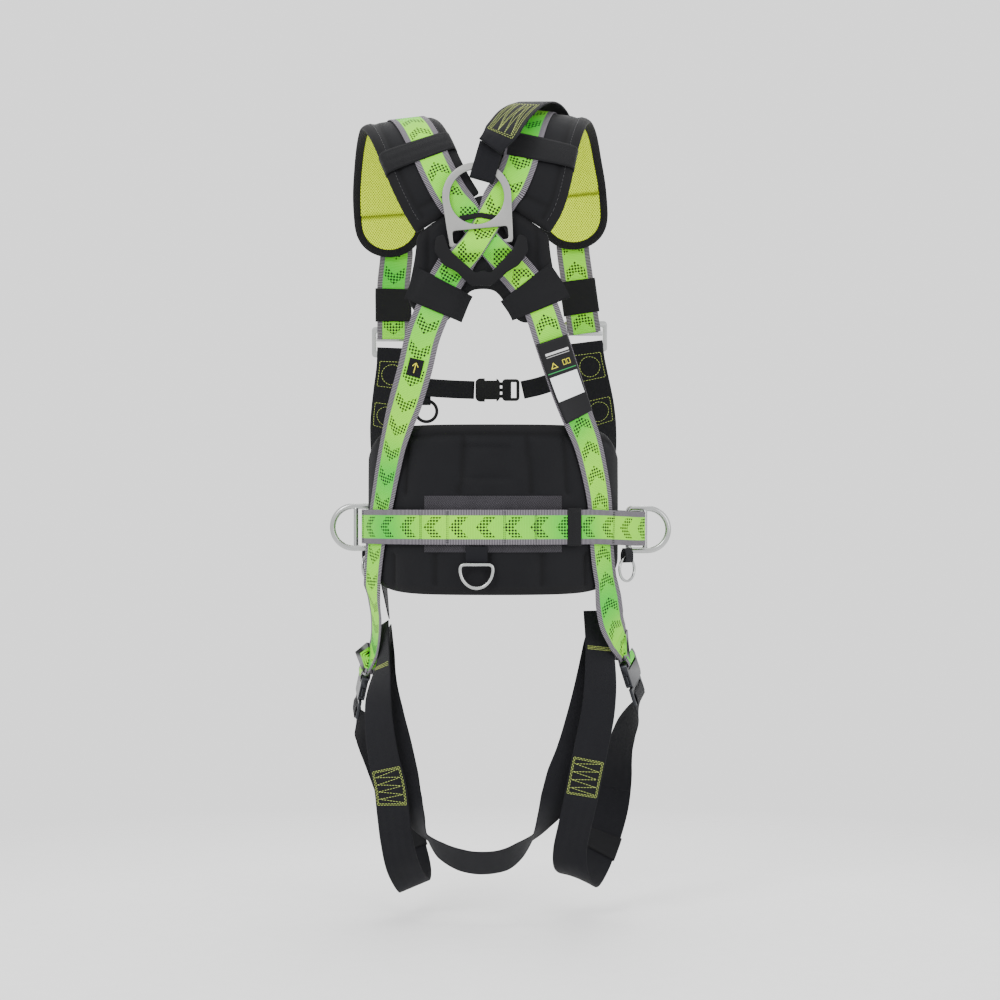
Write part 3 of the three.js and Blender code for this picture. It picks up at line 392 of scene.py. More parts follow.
class Route:
    """A smooth line through rows [x, y, z, nx, ny, nz], in millimetres, with the way its outer face looks."""

    def __init__(self, rows):
        rows = np.array(rows, float)
        self.points = rows[:, :3] * MM
        self.normals = unit(rows[:, 3:])
        n = len(rows)
        ext = np.vstack([2 * self.points[0] - self.points[1], self.points,
                         2 * self.points[-1] - self.points[-2]])
        gap = np.maximum(np.sqrt(np.linalg.norm(np.diff(ext, axis=0), axis=1) / MM), 1e-4)
        parts, index = [], []
        for i in range(n - 1):
            p0, p1, p2, p3 = ext[i:i + 4]
            d0, d1, d2 = gap[i:i + 3]
            t1 = ((p1 - p0) / d0 - (p2 - p0) / (d0 + d1) + (p2 - p1) / d1) * d1
            t2 = ((p2 - p1) / d1 - (p3 - p1) / (d1 + d2) + (p3 - p2) / d2) * d1
            w = np.linspace(0, 1, SAMPLES_PER_SPAN + 1)[(1 if i else 0):, None]
            parts.append(p1 + t1 * w + (-3 * p1 + 3 * p2 - 2 * t1 - t2) * w**2
                         + (2 * p1 - 2 * p2 + t1 + t2) * w**3)
            index.append(i + w[:, 0])
        self.line = np.vstack(parts)
        self.index = np.concatenate(index)
        step = np.linalg.norm(np.diff(self.line, axis=0), axis=1)
        self.reach = np.concatenate([[0], np.cumsum(step)])
        self.length = float(self.reach[-1])

    def frames(self, s):
        """points, across, outward and along at fractions s of the length"""
        at = np.clip(np.asarray(s, float), 0, 1) * self.length
        point = np.stack([np.interp(at, self.reach, self.line[:, k]) for k in range(3)], axis=-1)
        index = np.interp(at, self.reach, self.index)
        low = np.minimum(index.astype(int), len(self.normals) - 2)
        hint = self.normals[low] + (self.normals[low + 1] - self.normals[low]) * (index - low)[..., None]
        ahead = np.clip(at + 0.6 * MM, 0, self.length)
        behind = np.clip(at - 0.6 * MM, 0, self.length)
        along = unit(np.stack([np.interp(ahead, self.reach, self.line[:, k])
                               - np.interp(behind, self.reach, self.line[:, k]) for k in range(3)],
                               axis=-1))
        outward = unit(hint - along * np.sum(hint * along, axis=-1, keepdims=True))
        return point, np.cross(outward, along), outward, along

    def place(self, s, u, h):
        point, across, outward, _ = self.frames(s)
        return point + across * np.asarray(u, float)[..., None] + outward * np.asarray(h, float)[..., None]

    def rows(self, start, end, count, height, side=lambda s: 0 * s):
        s = np.linspace(start, end, count)
        points = self.place(s, side(s) * MM, np.full(count, height))
        return [[*(p / MM), *n] for p, n in zip(points, self.frames(s)[2])]

    def fraction(self, index):
        return float(np.interp(index, self.index, self.reach) / self.length)


def waist_row(degrees, offset, z):
    a = math.radians(degrees)
    x = WAIST["x"] + (WAIST["a"] + offset) * math.sin(a)
    y = WAIST["y"] - (WAIST["b"] + offset) * math.cos(a)
    n = unit([math.sin(a) / WAIST["a"], -math.cos(a) / WAIST["b"]])
    return [x, y, z, n[0], n[1], 0]


PAD_LEFT = Route([
    [-45, 0, 63, 0, -1, 0],
    [-57.7, 0, 83.4, 0, -1, 0],
    [-71, 5, 109, -0.05, -0.97, 0.2],
    [-87, 24, 145, -0.1, -0.8, 0.6],
    [-101, 55, 172, -0.12, -0.45, 0.88],
    [-114, 105, 186, -0.12, 0, 1],
    [-122, 150, 172, -0.12, 0.5, 0.86],
    [-128, 186, 140, -0.1, 0.82, 0.57],
    [-131, 206, 105, -0.06, 0.96, 0.26],
    [-129, 216, 68, -0.03, 1, 0.1],
    [-124, 219, 28, 0, 1, 0],
])
PAD_RIGHT = Route([
    [45, 0, 63, 0, -1, 0],
    [57.7, 0, 83.4, 0, -1, 0],
    [66, 5, 111, 0.05, -0.97, 0.2],
    [74, 24, 149, 0.1, -0.8, 0.6],
    [84, 55, 180, 0.12, -0.45, 0.88],
    [94, 105, 195, 0.12, 0, 1],
    [104, 150, 181, 0.12, 0.5, 0.86],
    [112, 186, 149, 0.1, 0.82, 0.57],
    [119, 206, 114, 0.06, 0.96, 0.26],
    [122, 216, 78, 0.03, 1, 0.1],
    [121, 219, 38, 0, 1, 0],
])
LOWER_Y = -(12 + 0.4 + 0.7)
UPPER_Y = LOWER_Y - 1.4 - 1.2
MAIN_LEFT = Route([
    [-125, 232, -84, 0, 1, 0],
    [-125, 233, -50, 0, 1, 0],
    [-125, 233.5, -10, 0, 1, 0],
    *PAD_LEFT.rows(0.985, 0.02, 24, ON_PAD, lambda s: -4 - 12 * (1 - s)),
    [-21, LOWER_Y, 62, 0, -1, 0],
    [-10, LOWER_Y, 47, 0, -1, 0],
    [1, LOWER_Y, 32, 0, -1, 0],
    [12, LOWER_Y, 18, 0, -1, 0],
    [26, LOWER_Y, 4, 0, -1, 0],
    [42, LOWER_Y, -12, 0, -1, 0],
    [59, LOWER_Y, -33, 0, -1, 0],
    [73, LOWER_Y, -56, 0, -1, 0],
    [88, -12, -100, 0.02, -1, 0],
    [98, -8, -130, 0.1, -1, 0],
    [110, -2, -165, 0.2, -0.98, 0],
    [123, 7, -200, 0.4, -0.9, 0.1],
    [135, 18.5, -230, 0.55, -0.83, 0.05],
    waist_row(49.6, ON_LUMBAR, -267),
    waist_row(53.3, ON_LUMBAR, -306),
    waist_row(54.4, ON_LUMBAR, -341),
    waist_row(56.2, ON_LUMBAR, -384),
    waist_row(58.5, ON_LUMBAR, -411),
    [164, 52, -437, 0.6, -0.8, 0],
    [169, 64, -464, 0.6, -0.8, 0],
    [178, 85, -487, 0.75, -0.65, 0],
    [184.5, 99, -500, 0.9, -0.35, 0],
    [187, 104, -507, 0.95, -0.25, 0],
])
MAIN_RIGHT = Route([
    [139, 232, -76, 0, 1, 0],
    [134, 233, -44, 0, 1, 0],
    [128, 233.5, 0, 0, 1, 0],
    *PAD_RIGHT.rows(0.985, 0.02, 24, ON_PAD,
                    lambda s: 29 - 8 * smooth(s, 0, 0.2) - 22 * smooth(s, 0.6, 0.95)),
    [12, UPPER_Y, 62, 0, -1, 0],
    [4, UPPER_Y, 47, 0, -1, 0],
    [-5, UPPER_Y, 32, 0, -1, 0],
    [-14, UPPER_Y, 18, 0, -1, 0],
    [-26, UPPER_Y, 4, 0, -1, 0],
    [-40, UPPER_Y, -12, 0, -1, 0],
    [-52, UPPER_Y, -33, 0, -1, 0],
    [-62, UPPER_Y, -57, 0, -1, 0],
    [-77, -14, -95, -0.02, -1, 0],
    [-87, -10, -136, -0.1, -1, 0],
    [-99, -2, -177, -0.2, -0.98, 0],
    [-108, 8, -203, -0.4, -0.9, 0.1],
    [-116, 20, -230, -0.6, -0.8, 0.05],
    waist_row(-52.6, ON_LUMBAR, -267),
    waist_row(-56.7, ON_LUMBAR, -306),
    waist_row(-61.2, ON_LUMBAR, -341),
    waist_row(-64.1, ON_LUMBAR, -372),
    waist_row(-66.4, ON_LUMBAR, -404),
    waist_row(-67, ON_LUMBAR, -425),
    [-143, 77, -452, -0.88, -0.46, 0],
    [-143, 96, -479, -0.93, -0.36, 0],
    [-147, 115, -506, -0.97, -0.25, 0],
    [-155, 128, -527, -0.95, -0.1, 0.1],
])
EXTENSION = Route([
    [9, -32, 146, 0, -1, 0.1],
    [22, -24, 163, -0.1, -0.9, 0.4],
    [40, 10, 192, -0.12, -0.75, 0.65],
    [60, 50, 212, -0.1, -0.4, 0.92],
    [78, 96, 220, 0.05, 0, 1],
    [94, 145, 209, 0.12, 0.45, 0.9],
    [106, 190, 178, 0.12, 0.8, 0.6],
    [113, 218, 140, 0.06, 0.95, 0.3],
])
INSIDE_BELT = 4
FRONT_LEFT = Route([
    [-125, 232, -96, 0, 1, 0],
    [-126, 231, -122, 0, 1, 0],
    [-130, 228, -155, -0.05, 1, 0],
    [-133, 222, -183, -0.15, 0.98, 0],
    [-136, 211, -212, -0.4, 0.9, 0],
    [-140, 190, -251, -0.75, 0.65, 0],
    [-142, 168, -282, -0.86, 0.5, 0],
    waist_row(-112, INSIDE_BELT, -316),
    waist_row(-110, INSIDE_BELT, -341),
    waist_row(-107, INSIDE_BELT, -365),
    [-137, 136, -396, -0.96, 0.2, 0],
    [-132, 130, -430, -0.98, 0.1, 0],
    [-127, 124, -462, -0.98, 0, 0],
])
FRONT_RIGHT = Route([
    [141, 232, -88, 0, 1, 0],
    [144, 231, -112, 0, 1, 0],
    [150, 228, -142, 0.05, 1, 0],
    [156, 222, -172, 0.15, 0.98, 0],
    [161, 211, -205, 0.4, 0.9, 0],
    [166, 190, -248, 0.75, 0.65, 0],
    [165, 167, -284, 0.86, 0.5, 0],
    [162, 155, -318, 0.9, 0.42, 0],
    [162, 149, -341, 0.93, 0.36, 0],
    [163, 141, -385, 0.97, 0.2, 0],
    [161, 130, -430, 0.98, 0.1, 0],
    [157, 120, -452, 0.98, 0, 0],
])
CHEST_LEFT = Route([
    [-100, 236, -148, 0, 1, 0],
    [-72, 238, -151, 0, 1, 0],
    [-40, 239, -153, 0, 1, 0],
    [-13.5, 239, -154, 0, 1, 0],
])
CHEST_RIGHT = Route([
    [53, 239, -154, 0, 1, 0],
    [75, 239, -149, 0, 1, 0],
    [100, 237, -141, 0, 1, 0],
    [122, 235, -134, 0, 1, 0],
])
BELT_REAR = Route([
    [-158.5, 104, BELT_Z, -1, -0.1, 0],
    *[waist_row(angle, BELT_LIFT, BELT_Z) for angle in range(-78, 49, 9)],
    [186, 61, BELT_Z - 2, 0.7, -0.7, 0],
    [203, 80, BELT_Z - 3, 0.75, -0.66, 0],
    [214, 96, BELT_Z - 3, 0.83, -0.56, 0],
])
BELT_FRONT_LEFT = Route([
    [-157, 122, BELT_Z, -1, 0.05, 0],
    *[waist_row(angle, 10, BELT_Z) for angle in (-108, -120, -132, -144, -156, -168, -172)],
])
BELT_FRONT_RIGHT = Route([
    [214, 122, BELT_Z - 3, 0.8, 0.5, 0],
    [200, 146, BELT_Z - 2, 0.75, 0.65, 0],
    *[waist_row(angle, 10, BELT_Z) for angle in (132, 144, 156, 164)],
])
RIBBED_BAND = Route([waist_row(angle, 14, -337) for angle in np.linspace(-31, 31, 11)])
LEG_LEFT = Route([
    [-133, 92, -470, -0.93, -0.37, 0],
    [-132, 85, -496, -0.94, -0.34, 0],
    [-133, 74, -523, -0.88, -0.47, 0],
    [-138, 61, -568, -0.62, -0.78, 0],
    [-136, 55, -607, -0.5, -0.86, 0],
    [-130, 52, -646, -0.42, -0.9, 0],
    [-122, 52, -682, -0.3, -0.95, 0],
    [-118, 57, -719, -0.25, -0.95, -0.15],
    [-113, 67, -760, -0.2, -0.9, -0.3],
    [-105, 84, -795, 0.1, -0.65, -0.7],
    [-92, 114, -821, 0.4, 0, -0.9],
    [-91, 145, -808, 0.4, 0.6, -0.65],
    [-100, 168, -775, 0.3, 0.9, -0.3],
    [-113, 183, -735, 0.1, 0.98, -0.1],
    [-128, 188, -694, -0.1, 0.98, 0],
    [-144, 182, -653, -0.4, 0.9, 0],
    [-157, 169, -628, -0.75, 0.65, 0],
    [-166, 157, -610, -0.9, 0.4, 0],
])
LEG_RIGHT = Route([
    [152, 84, -452, 0.45, -0.88, 0],
    [153, 82, -478, 0.5, -0.86, 0],
    [154, 75, -506, 0.5, -0.86, 0],
    [154, 63, -549, 0.3, -0.95, 0],
    [150, 56, -588, 0.15, -0.98, 0],
    [142, 52, -627, 0.12, -0.98, 0],
    [134, 52, -666, 0.12, -0.98, 0],
    [127, 55, -702, 0.15, -0.97, -0.1],
    [120, 60, -734, 0.2, -0.95, -0.2],
    [114, 71, -768, 0.1, -0.9, -0.35],
    [116, 86, -794, -0.15, -0.65, -0.7],
    [131, 115, -812, -0.45, 0, -0.9],
    [146, 147, -799, -0.4, 0.6, -0.65],
    [160, 169, -771, -0.2, 0.95, -0.2],
    [173, 180, -729, 0, 1, 0],
    [179, 176, -690, 0.3, 0.93, 0],
    [185, 160, -640, 0.7, 0.7, 0],
    [195, 145, -606, 0.85, 0.5, 0],
])
SUB_PELVIC = Route([
    [-127, 119, -478, -0.95, -0.2, 0],
    [-128, 104, -520, -0.85, -0.5, 0],
    [-128, 82, -556, -0.7, -0.7, 0],
    [-124, 71, -586, -0.5, -0.86, 0],
    [-114, 65, -628, -0.42, -0.9, 0],
    [-106, 64, -667, -0.35, -0.93, 0],
    [-99, 63, -703, -0.4, -0.9, -0.1],
    [-86, 59, -728, -0.65, -0.6, -0.45],
    [-73, 53, -748, -0.7, -0.2, -0.68],
    [-56, 47, -764, -0.4, -0.55, -0.72],
    [-30, 42, -776, -0.12, -0.72, -0.68],
    [-3, 40, -780, 0, -0.75, -0.66],
    [28, 42, -776, 0.12, -0.72, -0.68],
    [48, 47, -764, 0.4, -0.55, -0.72],
    [65, 53, -748, 0.7, -0.2, -0.68],
    [81, 60, -725, 0.65, -0.6, -0.45],
    [95, 65, -700, 0.35, -0.9, -0.1],
    [106, 66, -667, 0.15, -0.97, 0],
    [117, 66, -640, 0.12, -0.98, 0],
    [130, 70, -598, 0.15, -0.98, 0],
    [143, 80, -545, 0.3, -0.94, 0],
    [150, 98, -500, 0.6, -0.8, 0],
    [154, 113, -468, 0.9, -0.4, 0],
])


def make_object(name, vertices, faces, material, body="harness", layers=None, ride=True):
    mesh = bpy.data.meshes.new(name)
    mesh.from_pydata([tuple(v) for v in vertices], [], faces)
    mesh.validate()
    for layer, values in (layers or {}).items():
        attribute = mesh.attributes.new(layer, "FLOAT_VECTOR", "POINT")
        attribute.data.foreach_set("vector", np.asarray(values, np.float32).ravel())
    obj = link(bpy.data.objects.new(name, mesh))
    mesh.materials.append(material)
    made = bmesh.new()
    made.from_mesh(mesh)
    bmesh.ops.recalc_face_normals(made, faces=made.faces)
    made.to_mesh(mesh)
    made.free()
    mesh.polygons.foreach_set("use_smooth", [True] * len(mesh.polygons))
    if ride:
        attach(obj, body)
    return obj


def ring_faces(rings, around, closed=False):
    """quads between successive rings of points, with flat caps unless closed"""
    faces = []
    for i in range(rings if closed else rings - 1):
        j = (i + 1) % rings
        for k in range(around):
            m = (k + 1) % around
            faces.append((i * around + k, i * around + m, j * around + m, j * around + k))
    if not closed:
        faces.append(tuple(range(around - 1, -1, -1)))
        faces.append(tuple((rings - 1) * around + k for k in range(around)))
    return faces


def web_profile(columns):
    """outline of a woven strap: position across (-1 to 1) with its share of the rounded edge, and height"""
    face = np.linspace(-1, 1, columns + 1)
    turn = np.radians([60, 20, -20, -60])
    outline = [(u, 0.0, 0.5) for u in face]
    outline += [(1, math.cos(a) * 0.5, math.sin(a) * 0.5) for a in turn]
    outline += [(u, 0.0, -0.5) for u in face[::-1]]
    outline += [(-1, -math.cos(a) * 0.5, -math.sin(a) * 0.5) for a in turn]
    return np.array(outline)


def through_slot(points):
    """the crossed straps come out through the ring's slot, pass over its bar and return to the pad"""
    x, y, z = points[:, 0] / MM, points[:, 1] / MM, points[:, 2] / MM
    v = (z - 23) * math.cos(RING["lean"]) - (x + 2) * math.sin(RING["lean"])
    rise = 11.4 * (1 - smooth(v, 2, 20)) * smooth(v, -25, -5) * smooth(60 - y, 0, 40)
    lifted = points.copy()
    lifted[:, 1] -= rise * MM
    return lifted


def web(name, route, material, width=WEB_WIDTH, thick=WEB_THICK, lift=0.0, start=0.0, end=1.0, pitch=3 * MM,
        columns=12, warp=None, body="harness", flip=1, phase=0.0, ride=True, replaces=()):
    count = max(2, int(round(route.length * abs(end - start) / pitch)))
    s = np.linspace(start, end, count + 1)
    outline = web_profile(columns)
    widths = np.broadcast_to(width(s) if callable(width) else width, s.shape)
    half = (widths / 2 - thick / 2)[:, None]
    u = outline[None, :, 0] * half + outline[None, :, 1] * thick
    lifts = np.broadcast_to(lift(s) if callable(lift) else lift, s.shape)[:, None]
    h = lifts + outline[None, :, 2] * thick
    s_all = np.repeat(s[:, None], len(outline), 1)
    points = route.place(s_all.ravel(), u.ravel(), h.ravel())
    if warp is not None:
        points = warp(points)
    v = flip * (s_all * route.length) + phase
    side = np.broadcast_to(np.sign(outline[None, :, 2]), u.shape)
    laid = np.stack([u.ravel() * flip, v.ravel(), side.ravel()], axis=-1)
    obj = make_object(name, points, ring_faces(len(s), len(outline)), material, body, {"web": laid}, ride)
    if replaces:
        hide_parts(*replaces)
    return obj


def lofted(name, rings, material, body="harness", closed=False, layers=None, ride=True):
    """a skin through equal rings of points"""
    rings = np.asarray(rings, float)
    count, around = rings.shape[:2]
    return make_object(name, rings.reshape(-1, 3), ring_faces(count, around, closed), material, body,
                       layers, ride)


def band(name, route, start, end, section, material, thick=0.9 * MM, pitch=3 * MM, body="harness",
         replaces=(), warp=None):
    """an elastic band over a strap: its section is a line of (across, height) in millimetres"""
    section = np.array(section, float) * MM
    reach = np.concatenate([[0], np.cumsum(np.linalg.norm(np.diff(section, axis=0), axis=1))])
    even = np.linspace(0, reach[-1], 60)
    line = np.stack([np.interp(even, reach, section[:, k]) for k in (0, 1)], axis=-1)
    for _ in range(3):
        line[1:-1] = (line[:-2] + 2 * line[1:-1] + line[2:]) / 4
    tangent = unit(np.gradient(line, axis=0))
    normal = np.stack([-tangent[:, 1], tangent[:, 0]], axis=-1) * thick / 2
    outline = np.vstack([line + normal, (line - normal)[::-1]])
    along = np.concatenate([even, even[::-1]]) - reach[-1] / 2
    count = max(2, int(round(route.length * (end - start) / pitch)))
    s = np.linspace(start, end, count + 1)
    n = len(outline)
    points = route.place(np.repeat(s, n), np.tile(outline[:, 0], count + 1),
                         np.tile(outline[:, 1], count + 1))
    if warp is not None:
        points = warp(points)
    laid = np.stack([np.repeat(s * route.length, n), np.tile(along, count + 1), np.zeros(n * (count + 1))],
                    axis=-1)
    obj = make_object(name, points, ring_faces(count + 1, n), material, body, {"web": laid})
    if replaces:
        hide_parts(*replaces)
    return obj


def on_route(route, lift, start=0.0, warp=None, sign=1):
    """surface for sewing: (distance along from a fraction, distance across) to points and normals"""
    def surface(v, u):
        s = start + sign * np.asarray(v, float) / route.length
        points = route.place(s, u, np.full(len(s), lift))
        if warp is not None:
            points = warp(points)
        return points, route.frames(s)[2]
    return surface


def sew(name, surface, paths, material, dash=2.9 * MM, gap=1.1 * MM, radius=0.34 * MM, body="harness",
        ride=True):
    """rows of raised stitches along paths of (along, across) points, in metres"""
    vertices, faces = [], []
    turn = np.radians(np.arange(0, 360, 60))
    shares = np.array([0.0, 0.16, 0.5, 0.84, 1.0])
    sizes = np.array([0.35, 0.9, 1.0, 0.9, 0.35]) * radius
    heights = np.array([-0.5, 0.25, 0.5, 0.25, -0.5]) * radius
    for path in paths:
        path = np.array(path, float)
        reach = np.concatenate([[0], np.cumsum(np.linalg.norm(np.diff(path, axis=0), axis=1))])
        count = max(1, int(round(reach[-1] / (dash + gap))))
        pitch = reach[-1] / count
        starts = np.arange(count) * pitch + gap / 2
        at = (starts[:, None] + shares[None, :] * (pitch - gap)).ravel()
        v = np.interp(at, reach, path[:, 0])
        u = np.interp(at, reach, path[:, 1])
        points, normals = surface(v, u)
        points = points.reshape(count, 5, 3)
        normals = normals.reshape(count, 5, 3)
        along = unit(points[:, -1] - points[:, 0])[:, None, :]
        across = np.cross(np.broadcast_to(along, normals.shape), normals)
        middle = points + normals * heights[None, :, None]
        ringed = (middle[:, :, None, :]
                  + across[:, :, None, :] * (np.cos(turn)[None, None, :, None] * sizes[None, :, None, None])
                  + normals[:, :, None, :]
                  * (np.sin(turn)[None, None, :, None] * sizes[None, :, None, None] * 0.7))
        base = len(vertices)
        vertices.extend(ringed.reshape(-1, 3).tolist())
        for k in range(count):
            shift = base + k * 30
            faces.extend(tuple(shift + i for i in face) for face in STITCH_FACES)
    return make_object(name, vertices, faces, material, body, None, ride)


STITCH_FACES = ring_faces(5, 6)


# ---------------------------------------------------------------- pads
def inside(points, outline):
    x, y = points[:, 0][:, None], points[:, 1][:, None]
    x0, y0 = outline[:, 0], outline[:, 1]
    x1, y1 = np.roll(x0, -1), np.roll(y0, -1)
    crossing = ((y0 > y) != (y1 > y)) & (x < (x1 - x0) * (y - y0) / np.where(y1 == y0, 1e-12, y1 - y0) + x0)
    return crossing.sum(axis=1) % 2 == 1


def line_distance(points, line):
    """distance from each point to an open line, both in the pad's own plane"""
    best = np.full(len(points), 1e9)
    for a, b in zip(line[:-1], line[1:]):
        d = b - a
        t = np.clip(((points - a) @ d) / max(d @ d, 1e-12), 0, 1)
        best = np.minimum(best, np.linalg.norm(points - a - t[:, None] * d, axis=1))
    return best


def spaced(line, pitch, closed=True):
    line = np.array(line, float)
    if closed:
        line = np.vstack([line, line[:1]])
    reach = np.concatenate([[0], np.cumsum(np.linalg.norm(np.diff(line, axis=0), axis=1))])
    count = max(3, int(round(reach[-1] / pitch)))
    at = np.linspace(0, reach[-1], count + 1)
    made = np.stack([np.interp(at, reach, line[:, k]) for k in (0, 1)], axis=-1)
    return made[:-1] if closed else made


def rounded_outline(line, times=3):
    line = np.array(line, float)
    for _ in range(times):
        following = np.roll(line, -1, axis=0)
        line = np.stack([0.75 * line + 0.25 * following, 0.25 * line + 0.75 * following],
                        axis=1).reshape(-1, 2)
    return line


def pad(name, outline, place, thick, material, node, bound=None, channels=(), pitch=4.5 * MM,
        rim_thick=4.5 * MM,
        shoulder=16 * MM, groove=0.5, groove_width=2.4 * MM, inner_channels=None, pressure=4.0,
        cap=2.2 * MM, emboss=()):
    """A sewn pad over a flat outline. place(a, b, h) puts it in space, h from 0 (body side) to thick."""
    from mathutils.geometry import delaunay_2d_cdt

    rim = spaced(outline, pitch)
    low, high = rim.min(0), rim.max(0)
    ga, gb = np.meshgrid(np.arange(low[0], high[0], pitch), np.arange(low[1], high[1], pitch))
    grid = np.stack([ga.ravel(), gb.ravel()], axis=-1)
    grid = grid[inside(grid, rim)]
    ring = np.vstack([rim, rim[:1]])
    grid = grid[line_distance(grid, ring) > 0.55 * pitch]
    lines = [spaced(np.array(c, float), pitch, closed=False) for c in channels]
    seams = lines + [spaced(np.array(c, float), pitch, closed=False) for c in (inner_channels or ())]
    for line in seams:
        grid = grid[line_distance(grid, line) > 0.5 * pitch]
    seeded = [p for line in seams for p in line if inside(p[None], rim)[0]
              and line_distance(p[None], ring)[0] > 0.5 * pitch]
    flat = np.vstack([rim, grid] + ([np.array(seeded)] if seeded else []))
    count = len(rim)
    edges = [(i, (i + 1) % count) for i in range(count)]
    made = delaunay_2d_cdt([Vector(p) for p in flat], edges, [], 1, 1e-6)
    flat = np.array([[p.x, p.y] for p in made[0]])
    source = made[3]
    rim_of = {}
    for i, origins in enumerate(source):
        for o in origins:
            if o < count:
                rim_of[o] = i
    triangles = [tuple(t) for t in made[2]]
    bound_line = ring if bound is None else np.array(bound, float)
    d_rim = line_distance(flat, ring)
    d_bound = line_distance(flat, bound_line)
    d_channel = np.min([line_distance(flat, line) for line in lines],
                       axis=0) if lines else np.full(len(flat), 1.0)
    crown = np.sqrt(np.clip(1 - (1 - np.clip(d_rim / shoulder, 0, 1)) ** 2, 0, 1))
    full = rim_thick + (thick - rim_thick) * crown
    sewn = np.exp(-(d_channel / groove_width) ** 2)
    puffed = 0.90 + 0.10 * np.clip(d_channel / (14 * MM), 0, 1)
    step = 0.35 * MM * (1 - smooth(d_bound, 8.6 * MM, 9.8 * MM))
    outer = thick / 2 + full / 2 * puffed * (1 - groove * sewn) + step
    for centre, size, depth in emboss:
        gap = np.max(np.abs(flat - np.array(centre)) - np.array(size), axis=1)
        outer -= depth * (1 - smooth(gap, -1.5 * MM, 1.5 * MM))
        outer -= depth * 0.9 * np.exp(-((gap + 4 * MM) / (1.8 * MM)) ** 2)
    inner_sewn = sewn if inner_channels is None else np.exp(-(np.min(
        [line_distance(flat, np.array(c, float)) for c in inner_channels], axis=0) / groove_width) ** 2)
    inner = thick / 2 - full / 2 * (1 - 0.35 * inner_sewn) - 0.6 * step
    n = len(flat)
    rows = np.concatenate([outer, inner])
    points = place(np.tile(flat[:, 0], 2), np.tile(flat[:, 1], 2), rows)
    zone = np.stack([np.tile(d_bound, 2), np.repeat([0.0, 1.0], n), np.concatenate([
        np.exp(-(d_channel / (1.3 * MM)) ** 2),
        np.exp(-(np.where(inner_sewn > 0, np.sqrt(-np.log(np.maximum(inner_sewn, 1e-9))) * groove_width,
                          1) / (1.5 * MM)) ** 2)])], axis=-1)
    laid = np.stack([np.tile(flat[:, 0], 2), np.tile(flat[:, 1], 2), rows], axis=-1)
    faces = triangles + [(a + n, c + n, b + n) for a, b, c in triangles]
    rim_index = [rim_of[i] for i in range(count)]
    centre = flat[rim_index]
    tangent = unit(np.roll(centre, -1, axis=0) - np.roll(centre, 1, axis=0))
    away = np.stack([tangent[:, 1], -tangent[:, 0]], axis=-1)
    area = np.sum(centre[:, 0] * np.roll(centre[:, 1], -1) - np.roll(centre[:, 0], -1) * centre[:, 1])
    away *= 1 if area > 0 else -1
    extra, extra_zone, extra_laid = [], [], []
    bulge = [(0.75, 0.62), (1.0, 0.0), (0.75, -0.62)]
    half = (outer[rim_index] - inner[rim_index]) / 2
    mid = (outer[rim_index] + inner[rim_index]) / 2
    for out, up in bulge:
        spot = centre + away * (out * 1.6 * MM)
        height = mid + half * up
        extra.append(place(spot[:, 0], spot[:, 1], height))
        extra_zone.append(np.stack([np.zeros(count) + line_distance(centre, bound_line),
                                    np.full(count, 0.0 if up >= 0 else 1.0), np.zeros(count)], axis=-1))
        extra_laid.append(np.stack([spot[:, 0], spot[:, 1], height], axis=-1))
    chain = [np.array(rim_index)] + [2 * n + k * count + np.arange(count)
                                     for k in range(3)] + [np.array(rim_index) + n]
    for first, second in zip(chain[:-1], chain[1:]):
        for i in range(count):
            j = (i + 1) % count
            faces.append((int(first[i]), int(second[i]), int(second[j]), int(first[j])))
    points = np.vstack([points] + extra)
    obj = make_object(name, points, faces, material, layers={
        "pad_zone": np.vstack([zone] + extra_zone), "pad": np.vstack([laid] + extra_laid)})
    held = np.concatenate([np.tile((d_rim < 7 * MM) | (d_channel < 2.2 * MM), 2), np.ones(3 * count, bool)])
    inflate(obj, np.nonzero(held)[0], pressure, cap)
    subdivide(obj)
    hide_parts(node)
    return obj


def inflate(obj, pinned, pressure, cap):
    """cloth simulation under pressure, sewn down where pinned, with the movement capped"""
    mesh = obj.data
    group = obj.vertex_groups.new(name="sewn")
    group.add([int(i) for i in pinned], 1.0, "REPLACE")
    cloth = obj.modifiers.new("cloth", "CLOTH")
    cloth.settings.vertex_group_mass = "sewn"
    cloth.settings.use_pressure = True
    cloth.settings.uniform_pressure_force = pressure
    cloth.settings.effector_weights.gravity = 0
    scene = bpy.context.scene
    for step in range(1, 21):
        scene.frame_set(step)
    evaluated = obj.evaluated_get(bpy.context.evaluated_depsgraph_get())
    count = len(mesh.vertices)
    before = np.empty(count * 3)
    after = np.empty(count * 3)
    mesh.vertices.foreach_get("co", before)
    evaluated.data.vertices.foreach_get("co", after)
    move = (after - before).reshape(-1, 3)
    size = np.linalg.norm(move, axis=1, keepdims=True)
    move *= cap * np.tanh(size / cap) / np.maximum(size, 1e-9)
    obj.modifiers.remove(cloth)
    scene.frame_set(1)
    mesh.vertices.foreach_set("co", (before.reshape(-1, 3) + move).ravel())
    mesh.update()


def subdivide(obj, levels=1):
    modifier = obj.modifiers.new("smooth", "SUBSURF")
    modifier.levels = levels
    modifier.render_levels = levels
    bake(obj)


def bake(obj):
    """applies an object's modifiers to its mesh"""
    evaluated = obj.evaluated_get(bpy.context.evaluated_depsgraph_get())
    mesh = bpy.data.meshes.new_from_object(evaluated)
    old = obj.data
    obj.modifiers.clear()
    obj.data = mesh
    bpy.data.meshes.remove(old)


def pad_on_route(route):
    def place(a, b, h):
        return route.place(np.asarray(b) / route.length, a, h)
    return place


